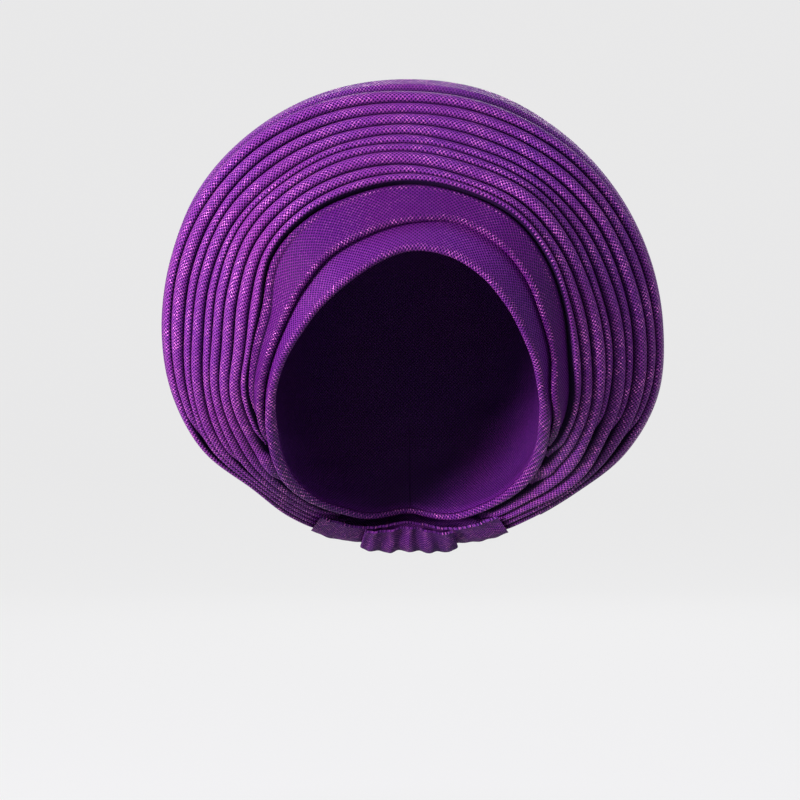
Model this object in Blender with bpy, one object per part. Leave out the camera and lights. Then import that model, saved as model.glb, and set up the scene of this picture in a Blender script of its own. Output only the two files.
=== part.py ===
"""Tied gele head tie: a fan of nine rope-like pleats round a head wrap, gathered and tied at the nape.

Lengths are in metres, +Z is up and the face looks along -Y. The origin is the crown seat, the highest
point of the hollow, where the wrap rests on the head. The face axis runs along Y at eye height. Most
pieces are cloth walls that follow a path in a half-plane through that axis, and the half-plane turns
round the axis from the nape over the top and back to the nape. In a half-plane a point is
(radius from the face axis, depth along Y).
"""

import bmesh
import bpy
import numpy as np

# Head: the hollow is a squared ellipsoid round the face axis.
CROWN_HEIGHT = 0.108
HEAD_HALF_LENGTH = 0.0955
HEAD_SQUARENESS = 2.5

# Fan: the rim is the outline of the head tie from the front.
RIM_HEIGHT = 0.1745
RIM_REACH_BACK = 0.095

# Cloth walls and the gaps between pieces.
PLEAT_CLOTH = 0.0012
WRAP_CLOTH = 0.0015
GAP = 0.0003
CLOTH_SHARE = 0.36  # a squeezed pleat's wall, as a share of the room it has

# Folds.
EDGE_FOLD_RADIUS = 0.0013
BROW_FOLD_RADIUS = 0.0015
BRIM_OVERLAP = 0.0035
BRIM_NAPE_LENGTH = 0.005
BROW_LEG = 0.009
BROW_PAGE = 0.010
BROW_RECESS = 0.004
PLEAT_PAGE = 0.018
PLEAT_PAGE_PER_WIDTH = 3.6
PLEAT_PAGE_BUNDLED = 0.0095
PAGE_SHORTEST = 0.002
PAGE_LIMIT_STEPS = 24
PLEAT_ROUNDNESS = 1.2
PLEAT_SLANT = 0.5  # the most that a pleat's outer side lies behind or before its inner side, by its room

# How far the pages of the folds lean in from straight back: at the top, at the side bundles and at the nape.
PAGE_TILT_TOP_DEG = 20.0
PAGE_TILT_SIDE_DEG = 45.0
PAGE_TILT_NAPE_DEG = 25.0

# Back drape, from the rim down to the nape.
DRAPE_TUCK = 0.008
DRAPE_FULLNESS = 0.42
DRAPE_SWELL = 0.55
DRAPE_SEAT_TOP = -0.10  # above the nape wrap's back wall, as a share of that wall
DRAPE_SEAT_HALF_DEG = 38.0
GATHER_COUNT = 9
GATHER_DEPTH = 0.0035

# Nape wrap and knot.
WRAP_CLEARANCE = 0.0048
WRAP_DEPTH = 0.0145
KNOT_SWELL = 0.0045

# Every piece is cut at the same half-planes, this far apart; the drape and the knot at every half step.
TURN_DEG = 12.0

# How far the nape wrap and the knot reach each side of the nape.
WRAP_HALF_DEG = 3.0 * TURN_DEG
KNOT_HALF_DEG = 1.5 * TURN_DEG

# How finely the walls are cut along their paths.
HEAD_STEPS = 8
DRAPE_STEPS = 8

# From the middle of the face band's wall to the middle of the brow band's front wall.
BROW_LIFT = WRAP_CLOTH / 2 + 2 * GAP + PLEAT_CLOTH / 2 + 2 * BROW_FOLD_RADIUS

# One row for each half-plane, 15 degrees apart, from -165 (the viewer's lower left) round over the top to
# 180, the nape. head: the hollow's radius, a share of CROWN_HEIGHT. edge_depth: the face edge's depth, a
# share of HEAD_HALF_LENGTH. rim: the rim's radius, a share of RIM_HEIGHT. rim_depth: its depth, a share of
# RIM_REACH_BACK. The rest: the groove at the face side of each fold, a share of the way out from the face
# edge to the rim.
STATION_STEP_DEG = 15.0
FIRST_STATION_DEG = -165.0
FOLD_NAMES = ("brow", *(f"pleat_{number}" for number in range(1, 10)), "drape")
STATION_COLUMNS = ("head", "edge_depth", "rim", "rim_depth", *FOLD_NAMES)
STATIONS = (
    (0.886, 0.785, 0.486, 1.11, 0.200, 0.240, 0.260, 0.300, 0.420, 0.550, 0.570, 0.690, 0.810, 0.840, 0.945),
    (0.778, 0.600, 0.524, 1.06, 0.200, 0.240, 0.250, 0.280, 0.420, 0.565, 0.570, 0.700, 0.835, 0.840, 0.940),
    (0.737, 0.312, 0.555, 0.80, 0.200, 0.220, 0.230, 0.270, 0.420, 0.575, 0.580, 0.710, 0.845, 0.850, 0.940),
    (0.717, 0.000, 0.589, 0.50, 0.170, 0.200, 0.215, 0.385, 0.555, 0.705, 0.715, 0.800, 0.875, 0.885, 0.950),
    (0.692, -0.260, 0.677, 0.31, 0.100, 0.219, 0.262, 0.389, 0.515, 0.619, 0.705, 0.815, 0.880, 0.922, 0.968),
    (0.704, -0.461, 0.748, 0.17, 0.088, 0.261, 0.313, 0.413, 0.508, 0.595, 0.660, 0.758, 0.820, 0.905, 0.958),
    (0.731, -0.620, 0.807, 0.10, 0.090, 0.261, 0.307, 0.400, 0.488, 0.570, 0.637, 0.729, 0.794, 0.894, 0.960),
    (0.781, -0.735, 0.864, 0.06, 0.110, 0.300, 0.367, 0.459, 0.539, 0.614, 0.673, 0.751, 0.816, 0.908, 0.964),
    (0.870, -0.809, 0.926, 0.03, 0.140, 0.393, 0.437, 0.509, 0.579, 0.638, 0.679, 0.757, 0.810, 0.890, 0.953),
    (0.955, -0.844, 0.964, 0.01, 0.166, 0.411, 0.453, 0.513, 0.582, 0.634, 0.667, 0.743, 0.807, 0.878, 0.941),
    (0.991, -0.835, 0.986, 0.00, 0.155, 0.394, 0.441, 0.501, 0.570, 0.625, 0.664, 0.728, 0.793, 0.856, 0.924),
    (1.000, -0.807, 0.989, -0.01, 0.150, 0.381, 0.422, 0.472, 0.548, 0.595, 0.651, 0.710, 0.777, 0.838, 0.906),
    (0.991, -0.800, 0.983, 0.00, 0.186, 0.372, 0.400, 0.448, 0.526, 0.575, 0.627, 0.695, 0.769, 0.839, 0.905),
    (0.955, -0.800, 0.952, 0.01, 0.197, 0.388, 0.415, 0.472, 0.554, 0.603, 0.656, 0.720, 0.796, 0.863, 0.925),
    (0.870, -0.773, 0.914, 0.03, 0.184, 0.370, 0.396, 0.459, 0.545, 0.601, 0.667, 0.737, 0.819, 0.884, 0.940),
    (0.781, -0.714, 0.871, 0.06, 0.152, 0.328, 0.357, 0.437, 0.525, 0.581, 0.663, 0.734, 0.826, 0.896, 0.951),
    (0.732, -0.645, 0.827, 0.10, 0.120, 0.282, 0.335, 0.420, 0.520, 0.578, 0.674, 0.739, 0.836, 0.909, 0.954),
    (0.704, -0.555, 0.785, 0.17, 0.085, 0.270, 0.329, 0.413, 0.510, 0.564, 0.671, 0.726, 0.834, 0.893, 0.943),
    (0.680, -0.330, 0.712, 0.31, 0.100, 0.248, 0.307, 0.415, 0.540, 0.575, 0.695, 0.730, 0.840, 0.880, 0.935),
    (0.700, 0.080, 0.621, 0.50, 0.100, 0.140, 0.220, 0.390, 0.615, 0.625, 0.830, 0.840, 0.900, 0.910, 0.960),
    (0.727, 0.363, 0.568, 0.80, 0.200, 0.220, 0.240, 0.280, 0.490, 0.495, 0.700, 0.705, 0.835, 0.840, 0.940),
    (0.778, 0.600, 0.531, 1.06, 0.200, 0.240, 0.250, 0.280, 0.480, 0.485, 0.680, 0.685, 0.830, 0.840, 0.940),
    (0.887, 0.780, 0.489, 1.11, 0.200, 0.240, 0.260, 0.310, 0.450, 0.520, 0.640, 0.680, 0.800, 0.850, 0.945),
    (0.963, 0.863, 0.463, 1.08, 0.200, 0.220, 0.240, 0.330, 0.420, 0.510, 0.600, 0.690, 0.780, 0.870, 0.950),
)

# How far back each fold's groove lies, as a share of the way from the face edge to the rim, and where the
# fold starts and ends, in turns of TURN_DEG. A fold that ends early has run under its neighbour.
FOLDS = {
    "brow": (0.05, -8.5, 8.5),
    "pleat_1": (0.12, -8.5, 9.5),
    "pleat_2": (0.18, -10.5, 10.5),
    "pleat_3": (0.24, -12.5, 12.5),
    "pleat_4": (0.30, -12.5, 8.5),
    "pleat_5": (0.36, -9.5, 12.5),
    "pleat_6": (0.42, -12.5, 8.5),
    "pleat_7": (0.48, -12.5, 12.5),
    "pleat_8": (0.54, -8.5, 8.5),
    "pleat_9": (0.61, -12.5, 12.5),
    "drape": (0.72, -11.0, 11.0),
}

# Colour, roughness and metallic value of each finish.
FINISHES = {
    "woven_purple": ((0.155, 0.020, 0.300, 1.0), 0.55, 0.0),
    "woven_violet": ((0.095, 0.012, 0.215, 1.0), 0.60, 0.0),
}


def clear_scene():
    for old in list(bpy.data.objects):
        bpy.data.objects.remove(old)


def finish(name):
    """The material of that name, made once."""
    material = bpy.data.materials.get(name)
    if material is None:
        colour, roughness, metallic = FINISHES[name]
        material = bpy.data.materials.new(name)
        material.use_nodes = True
        shader = material.node_tree.nodes["Principled BSDF"]
        shader.inputs["Base Color"].default_value = colour
        shader.inputs["Roughness"].default_value = roughness
        shader.inputs["Metallic"].default_value = metallic
    return material


def between_stations(values, angles):
    """The smooth closed curve through one value for each station, at these angles in degrees."""
    values = np.asarray(values, float)
    place = (np.asarray(angles, float) - FIRST_STATION_DEG) / STATION_STEP_DEG
    index = np.floor(place).astype(int)
    share = place - index
    before, start, end, after = (values[(index + step) % len(values)] for step in (-1, 0, 1, 2))
    slope_in, slope_out = (end - before) / 2, (after - start) / 2
    square, cube = share**2, share**3
    return (
        (2 * cube - 3 * square + 1) * start
        + (cube - 2 * square + share) * slope_in
        + (3 * square - 2 * cube) * end
        + (cube - square) * slope_out
    )


def station(column, angles):
    """One column of STATIONS at these angles: a length, or a groove's share."""
    scale = {
        "head": CROWN_HEIGHT,
        "edge_depth": HEAD_HALF_LENGTH,
        "rim": RIM_HEIGHT,
        "rim_depth": RIM_REACH_BACK,
    }.get(column, 1.0)
    return scale * between_stations([row[STATION_COLUMNS.index(column)] for row in STATIONS], angles)


def head_radius(angles, depth, grow=0.0):
    """The radius of the head, grown by a wall, at a depth."""
    share = np.clip(np.abs(depth) / (HEAD_HALF_LENGTH + grow), 0.0, 1.0)
    return (station("head", angles) + grow) * (1 - share**HEAD_SQUARENESS) ** (1 / HEAD_SQUARENESS)


def groove(name, angles):
    """The groove at the face side of a fold: (radius, depth) at each angle."""
    edge_depth = station("edge_depth", angles)
    edge_radius = head_radius(angles, edge_depth)
    radius = edge_radius + station(name, angles) * (station("rim", angles) - edge_radius)
    depth = edge_depth + FOLDS[name][0] * (station("rim_depth", angles) - edge_depth)
    return np.stack([radius, depth], axis=-1)


def eased(share):
    """0 below 0, 1 above 1, and a smooth step between."""
    share = np.clip(share, 0.0, 1.0)
    return share * share * (3 - 2 * share)


def turns(first, last, step=TURN_DEG):
    """The angles of the half-planes from one to another."""
    return np.linspace(first, last, int(round((last - first) / step)) + 1)


def fold_turns(name, step=TURN_DEG):
    """The angles of a fold's half-planes."""
    _, first, last = FOLDS[name]
    return turns(first * TURN_DEG, last * TURN_DEG, step)


def page_axes(angles):
    """Unit vectors across the pages of the folds, and back along them, at each angle."""
    side = PAGE_TILT_TOP_DEG + (PAGE_TILT_SIDE_DEG - PAGE_TILT_TOP_DEG) * eased((np.abs(angles) - 60.0) / 60.0)
    tilt = np.radians(side + (PAGE_TILT_NAPE_DEG - side) * eased((np.abs(angles) - 150.0) / 30.0))
    across = np.stack([np.cos(tilt), np.sin(tilt)], axis=-1)
    along = np.stack([-np.sin(tilt), np.cos(tilt)], axis=-1)
    return across, along


def unit(vectors):
    return vectors / np.maximum(np.linalg.norm(vectors, axis=-1, keepdims=True), 1e-12)


def stacked(points):
    """Points of shape (stations, 2) joined into paths of shape (stations, points, 2)."""
    return np.stack(points, axis=1)


def thicken(paths, wall, pole=False):
    """The closed outline of a cloth wall that follows each path. At a pole the wall ends on the face axis."""
    steps = unit(np.diff(paths, axis=1))
    normals = np.stack([-steps[..., 1], steps[..., 0]], axis=-1)
    first, last = normals[:, :1], normals[:, -1:]
    joined = unit(normals[:, :-1] + normals[:, 1:])
    mitre = 1 / np.maximum((joined * normals[:, 1:]).sum(-1, keepdims=True), 0.5)
    offsets = np.concatenate([first, joined * mitre, last], axis=1)
    if pole:
        offsets[:, 0] = (0.0, np.sign(offsets[0, 0, 1]))
    half = np.asarray(wall, float).reshape(-1, 1, 1) / 2
    return np.concatenate([paths + half * offsets, (paths - half * offsets)[:, ::-1]], axis=1)


def in_space(sections, angles):
    """Half-plane points (stations, points, 2) as points in space."""
    turn = np.radians(angles)[:, None]
    radius, depth = sections[..., 0], sections[..., 1]
    return np.stack([radius * np.sin(turn), depth, radius * np.cos(turn) - CROWN_HEIGHT], axis=-1)


def add_solid(name, rows, finish_name, closed=False):
    """One closed solid lofted through rows of outline points. Its ends are capped unless the rows close up."""
    count, size = rows.shape[:2]
    mesh = bmesh.new()
    verts = [[mesh.verts.new(point) for point in row] for row in rows]
    pairs = list(zip(range(count), range(1, count))) + ([(count - 1, 0)] if closed else [])
    for here, there in pairs:
        for i in range(size):
            j = (i + 1) % size
            mesh.faces.new((verts[here][i], verts[here][j], verts[there][j], verts[there][i]))
    if not closed:
        mesh.faces.new(verts[0])
        mesh.faces.new(verts[-1][::-1])
    bmesh.ops.remove_doubles(mesh, verts=mesh.verts, dist=1e-7)
    bmesh.ops.dissolve_degenerate(mesh, edges=mesh.edges, dist=1e-7)
    bmesh.ops.triangulate(mesh, faces=mesh.faces, quad_method="SHORT_EDGE")
    bmesh.ops.recalc_face_normals(mesh, faces=mesh.faces)
    data = bpy.data.meshes.new(name)
    mesh.to_mesh(data)
    mesh.free()
    data.shade_smooth()
    data.set_sharp_from_angle(angle=np.radians(50.0))
    data.materials.append(finish(finish_name))
    solid = bpy.data.objects.new(name, data)
    bpy.context.scene.collection.objects.link(solid)
    return solid


def fold_arc(centre, radius, start, over):
    """Five points of the half circle round a fold, from start, past over, to the far side of start."""
    turns = np.radians((0.0, 45.0, 90.0, 135.0, 180.0))
    return [centre + radius * (np.cos(turn) * start + np.sin(turn) * over) for turn in turns]


def head_edge(angles):
    """The wall's middle at the face edge, the normal there, and the way past the edge."""
    depth = station("edge_depth", angles)
    head = station("head", angles)
    radius = head_radius(angles, depth)
    power = HEAD_SQUARENESS - 1
    slope_out = (radius / head) ** power / head
    slope_back = np.sign(depth) * (np.abs(depth) / HEAD_HALF_LENGTH) ** power / HEAD_HALF_LENGTH
    normal = unit(np.stack([slope_out, slope_back], axis=-1))
    middle = np.stack([radius, depth], axis=-1) + normal * WRAP_CLOTH / 2
    past = np.stack([normal[:, 1], -normal[:, 0]], axis=-1)
    return middle, normal, past


def brow_crease(angles):
    """Where the brow band turns in behind the first pleat."""
    across, along = page_axes(angles)
    return groove("pleat_1", angles) - (PLEAT_CLOTH / 2 + GAP) * across + BROW_RECESS * along


def brim(angles):
    """The turned-back face band: where it leaves the edge fold, its lie, its front and its length.

    It lies parallel to the brow band, whose front runs to the crease, and one BROW_LIFT behind it.
    """
    middle, normal, past = head_edge(angles)
    start = middle + 2 * EDGE_FOLD_RADIUS * normal
    away = brow_crease(angles) - start
    length = np.linalg.norm(away, axis=-1)
    bearing = np.arctan2(away[:, 1], away[:, 0]) + np.arcsin(np.clip(BROW_LIFT / length, -1, 1))
    lie = np.stack([np.cos(bearing), np.sin(bearing)], axis=-1)
    front = np.stack([lie[:, 1], -lie[:, 0]], axis=-1)
    reach = np.maximum((groove("brow", angles)[:, 0] - start[:, 0]) / lie[:, 0], BROW_FOLD_RADIUS)
    return start, lie, front, reach


def brim_tip(angles):
    """The tip of the face band: under the brow band, or a short hem at the nape."""
    start, lie, _, reach = brim(angles)
    _, normal, past = head_edge(angles)
    crease_reach = ((brow_crease(angles) - start) * lie).sum(-1)
    overlap = np.minimum(BRIM_OVERLAP, 0.4 * (crease_reach - reach))
    fan_tip = start + (reach + overlap)[:, None] * lie
    nape_tip = start - BRIM_NAPE_LENGTH * past + EDGE_FOLD_RADIUS * normal
    share = eased((np.abs(angles) / TURN_DEG - FOLDS["brow"][2]) / 2)[:, None]
    return start, (1 - share) * fan_tip + share * nape_tip


def head_wrap():
    """Covers the head from the face edge to a pole at the back, and turns back on itself as the face band."""
    angles = turns(-180.0 + TURN_DEG / 2, 180.0 - TURN_DEG / 2)
    middle, normal, past = head_edge(angles)
    start, tip = brim_tip(angles)
    grow = WRAP_CLOTH / 2
    full = HEAD_HALF_LENGTH + grow
    first = np.arcsin(np.clip(middle[:, 1] / full, -1, 1))
    path = []
    for step in np.linspace(1.0, 0.0, HEAD_STEPS)[:-1]:
        depth = full * np.sin(first + step * (np.pi / 2 - first))
        radius = head_radius(angles, depth, grow) if step < 1 else np.zeros_like(depth)
        path.append(np.stack([radius, depth], axis=-1))
    path += fold_arc(middle + EDGE_FOLD_RADIUS * normal, EDGE_FOLD_RADIUS, -normal, past)
    path.append(tip)
    sections = thicken(stacked(path), WRAP_CLOTH, pole=True)
    return add_solid("head_wrap", in_space(sections, angles), "woven_violet", closed=True)


def clear_length(point, along, longest, angles):
    """How far each page can run before it comes near the head wrap, up to the longest."""
    lengths = np.linspace(0.0, 1.0, PAGE_LIMIT_STEPS)[:, None] * longest
    near = WRAP_CLOTH + PLEAT_CLOTH / 2 + 4 * GAP
    radius = point[:, 0] + lengths * along[:, 0]
    depth = point[:, 1] + lengths * along[:, 1]
    clear = radius > head_radius(angles, depth, near)
    return np.maximum((lengths * np.cumprod(clear, axis=0)).max(axis=0), PAGE_SHORTEST)


def brow_path(angles):
    """Hidden leg, folded edge over the face band, flat front, crease under the first pleat, and page."""
    start, lie, front, reach = brim(angles)
    centre = start + reach[:, None] * lie + (BROW_LIFT - BROW_FOLD_RADIUS) * front
    _, along = page_axes(angles)
    crease = brow_crease(angles)
    width = np.linalg.norm(crease - centre, axis=-1)
    leg = np.minimum(BROW_LEG, 0.6 * width)[:, None]
    page = clear_length(crease, along, BROW_PAGE, angles)[:, None]
    arc = fold_arc(centre, BROW_FOLD_RADIUS, -front, -lie)
    return stacked([arc[0] + leg * lie, *arc, crease, crease + page * along])


def brow_band():
    angles = fold_turns("brow")
    sections = thicken(brow_path(angles), PLEAT_CLOTH)
    return add_solid("brow_band", in_space(sections, angles), "woven_purple")


def pleat(number):
    """One fold of the fan: a rounded edge to the front and two legs that run back as a page."""
    name = f"pleat_{number}"
    angles = fold_turns(name)
    low = groove(name, angles)
    high = groove(FOLD_NAMES[FOLD_NAMES.index(name) + 1], angles)
    across, along = page_axes(angles)
    low_across, high_across = (low * across).sum(-1), (high * across).sum(-1)
    low_along, high_along = (low * along).sum(-1), (high * along).sum(-1)
    room = high_across - low_across - GAP
    high_along = low_along + np.clip(high_along - low_along, -PLEAT_SLANT * room, PLEAT_SLANT * room)
    wall = np.minimum(PLEAT_CLOTH, CLOTH_SHARE * room)
    middle, half = (low_across + high_across) / 2, (room - wall) / 2
    longest = PLEAT_PAGE + (PLEAT_PAGE_BUNDLED - PLEAT_PAGE) * eased((np.abs(angles) - 90.0) / 45.0)
    longest = np.minimum(longest, PLEAT_PAGE_PER_WIDTH * room)
    base = np.maximum(low_along, high_along)
    foot = low_across[:, None] * across + base[:, None] * along
    tail = base + clear_length(foot, along, longest, angles)

    def point(side, back):
        return (middle + side * half)[:, None] * across + back[:, None] * along

    arc = []
    for turn in np.radians((0.0, 45.0, 90.0, 135.0, 180.0)):
        share = (1 - np.cos(turn)) / 2
        back = (1 - share) * low_along + share * high_along - PLEAT_ROUNDNESS * half * np.sin(turn)
        arc.append(point(-np.cos(turn), back))
    sections = thicken(stacked([point(-1, tail), *arc, point(1, tail)]), wall)
    return add_solid(name, in_space(sections, angles), "woven_purple")


def nape_path(angles, lift=0.0):
    """The wall round the gathered ends, open towards the head, lifted off them by a further amount."""
    across, along = page_axes(angles)
    low, inner_third, outer_third, high = (
        groove(name, angles) for name in ("pleat_2", "pleat_5", "pleat_8", "drape")
    )
    lift = np.asarray(lift, float)
    room, trim = WRAP_CLEARANCE, 0.414 * lift

    def point(base, side, back):
        return base + np.reshape(side, (-1, 1)) * across + np.reshape(back, (-1, 1)) * along

    return stacked([
        point(low, 0.5 * room, -room - lift),
        point(inner_third, 0.0, -room - lift),
        point(outer_third, 0.0, -room - lift),
        point(high, trim, -room - lift),
        point(high, lift + 0.5 * room, -trim - 0.5 * room),
        point(high, lift + 0.5 * room, trim + WRAP_DEPTH - 0.5 * room),
        point(high, trim - 0.25 * room, lift + WRAP_DEPTH),
        point(low, 0.5 * room, lift + WRAP_DEPTH),
    ])


def nape_wrap():
    angles = turns(180.0 - WRAP_HALF_DEG, 180.0 + WRAP_HALF_DEG, TURN_DEG / 2)
    sections = thicken(nape_path(wrapped(angles)), WRAP_CLOTH)
    return add_solid("nape_wrap", in_space(sections, angles), "woven_violet")


def wrapped(angles):
    """Angles brought into the range from -180 to 180 degrees."""
    return (np.asarray(angles) + 180.0) % 360.0 - 180.0


def nape_knot():
    """A swollen band round the nape wrap."""
    angles = turns(180.0 - KNOT_HALF_DEG, 180.0 + KNOT_HALF_DEG, TURN_DEG / 2)
    share = (angles - 180.0) / KNOT_HALF_DEG
    lift = WRAP_CLOTH + 3 * GAP + KNOT_SWELL * np.sqrt(np.clip(1 - share**2, 0, 1))
    sections = thicken(nape_path(wrapped(angles), lift), WRAP_CLOTH)
    return add_solid("nape_knot", in_space(sections, angles), "woven_purple")


def bezier(ends, shares):
    """Points of cubic curves, one for each column, at these shares of their length."""
    p0, p1, p2, p3 = (end[:, None] for end in ends)
    t = shares[None, :, None]
    return (1 - t) ** 3 * p0 + 3 * (1 - t) ** 2 * t * p1 + 3 * (1 - t) * t**2 * p2 + t**3 * p3


def grid_normals(grid):
    """Unit normals of a grid of points, turned away from the middle of the head."""
    normals = unit(np.cross(np.gradient(grid, axis=0), np.gradient(grid, axis=1)))
    outward = grid - np.array([0.0, 0.0, -CROWN_HEIGHT])
    return normals * np.sign((normals * outward).sum(-1, keepdims=True))


def drape_front(columns):
    """The drape's tucked edge, the middle of its front and the rim, as points in space."""
    across, along = page_axes(columns)
    rim = np.stack([station("rim", columns), station("rim_depth", columns)], axis=-1)
    tuck = groove("drape", columns) + (2 * GAP + WRAP_CLOTH / 2) * across + DRAPE_TUCK * along
    return in_space(stacked([tuck, (tuck + rim) / 2, rim]), columns)


def drape_grid(columns):
    """The drape's middle surface: tucked behind the last pleat, over the rim, and gathered at the nape.

    Its front lies against the last pleat's flat faces, so a column between two of the pleat's half-planes
    is the mean of its neighbours.
    """
    half = TURN_DEG / 2
    between = (np.round(columns / half) % 2 == 0)[:, None, None]
    beside = (drape_front(columns - half) + drape_front(columns + half)) / 2
    front = np.where(between, beside, drape_front(columns))

    seat_angles = wrapped(180.0 - columns * DRAPE_SEAT_HALF_DEG / columns[-1])
    back_wall = nape_path(seat_angles)
    seat_share = DRAPE_SEAT_TOP + (1 - DRAPE_SEAT_TOP) * eased(np.abs(columns) / columns[-1] * 2 - 1)
    _, seat_along = page_axes(seat_angles)
    seat = back_wall[:, -1] + seat_share[:, None] * (back_wall[:, -2] - back_wall[:, -1])
    seat = seat + (WRAP_CLOTH + 2 * GAP) * seat_along
    nape = in_space(seat[:, None], seat_angles)[:, 0]

    top = front[:, 2]
    reach = np.linalg.norm(top - nape, axis=-1, keepdims=True)
    back = np.array([0.0, 1.0, 0.0])
    leave = top + DRAPE_FULLNESS * reach * back
    flat = unit((top - nape) * (1.0, 0.0, 1.0))
    arrive = nape + DRAPE_FULLNESS * reach * unit(flat + DRAPE_SWELL * back)
    shares = np.linspace(0.0, 1.0, DRAPE_STEPS + 1)[1:]
    grid = np.concatenate([front, bezier((top, leave, arrive, nape), shares)], axis=1)
    down = np.concatenate([np.zeros(3), shares])[None, :, None]
    wave = np.cos(np.pi * GATHER_COUNT * columns / columns[-1])[:, None, None]
    return grid + grid_normals(grid) * GATHER_DEPTH * wave * down * (1 - down**6)


def back_drape():
    grid = drape_grid(fold_turns("drape", TURN_DEG / 2))
    offset = grid_normals(grid) * WRAP_CLOTH / 2
    rows = np.concatenate([grid + offset, (grid - offset)[:, ::-1]], axis=1)
    return add_solid("back_drape", rows, "woven_purple")


def main():
    clear_scene()
    head_wrap()
    brow_band()
    for number in range(1, 10):
        pleat(number)
    back_drape()
    nape_wrap()
    nape_knot()


main()
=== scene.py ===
"""Looks of the tied gele head tie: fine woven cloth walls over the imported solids, a soft studio and a camera.

Lengths are in metres, in the row's frame: +Z up, the face side towards -Y and the origin at the crown seat.
Every cloth wall follows a path in a half-plane through the face axis, a line along Y at eye height. The
half-plane turns round that axis, and an angle of 0 degrees points straight up. A point of a half-plane is
(radius from the axis, depth along Y). The forms repeat the solids' named sizes with finer curves.
"""

import logging  # noqa: E402
import math  # noqa: E402
from dataclasses import dataclass, field  # noqa: E402
from enum import Enum  # noqa: E402

import bpy  # noqa: E402
import numpy as np  # noqa: E402
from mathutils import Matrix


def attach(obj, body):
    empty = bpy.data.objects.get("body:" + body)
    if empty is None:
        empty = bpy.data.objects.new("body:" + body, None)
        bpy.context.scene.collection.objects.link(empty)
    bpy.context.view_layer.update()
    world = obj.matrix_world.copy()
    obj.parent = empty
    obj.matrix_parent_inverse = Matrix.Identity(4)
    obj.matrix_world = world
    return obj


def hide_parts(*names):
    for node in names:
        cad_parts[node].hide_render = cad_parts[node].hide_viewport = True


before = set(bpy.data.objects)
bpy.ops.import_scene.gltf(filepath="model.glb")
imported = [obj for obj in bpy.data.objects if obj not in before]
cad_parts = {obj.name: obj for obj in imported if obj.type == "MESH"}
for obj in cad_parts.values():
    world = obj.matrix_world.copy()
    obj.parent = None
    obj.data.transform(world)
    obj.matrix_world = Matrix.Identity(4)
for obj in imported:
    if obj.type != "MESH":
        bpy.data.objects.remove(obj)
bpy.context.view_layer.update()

LOG = logging.getLogger("gele")
Array = np.ndarray
Colour = tuple[float, float, float, float]

FOLD_NAMES = ("brow", *(f"pleat_{number}" for number in range(1, 10)), "drape")
MITRE_LIMIT = 0.6  # the least cosine that a wall's offset is lengthened for at a corner
SMOOTH_BELOW_DEG = 60.0  # edges flatter than this are shaded smooth
PLEAT_SEED = 40  # the first pleat's waver has the next seed
POLE_RADIUS = 1e-6  # the hollow's wall ends in a ring this small behind the head
BEVEL = 0.414  # how far a bevel's ends move along the sides when the sides and the bevel move out by 1

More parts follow.
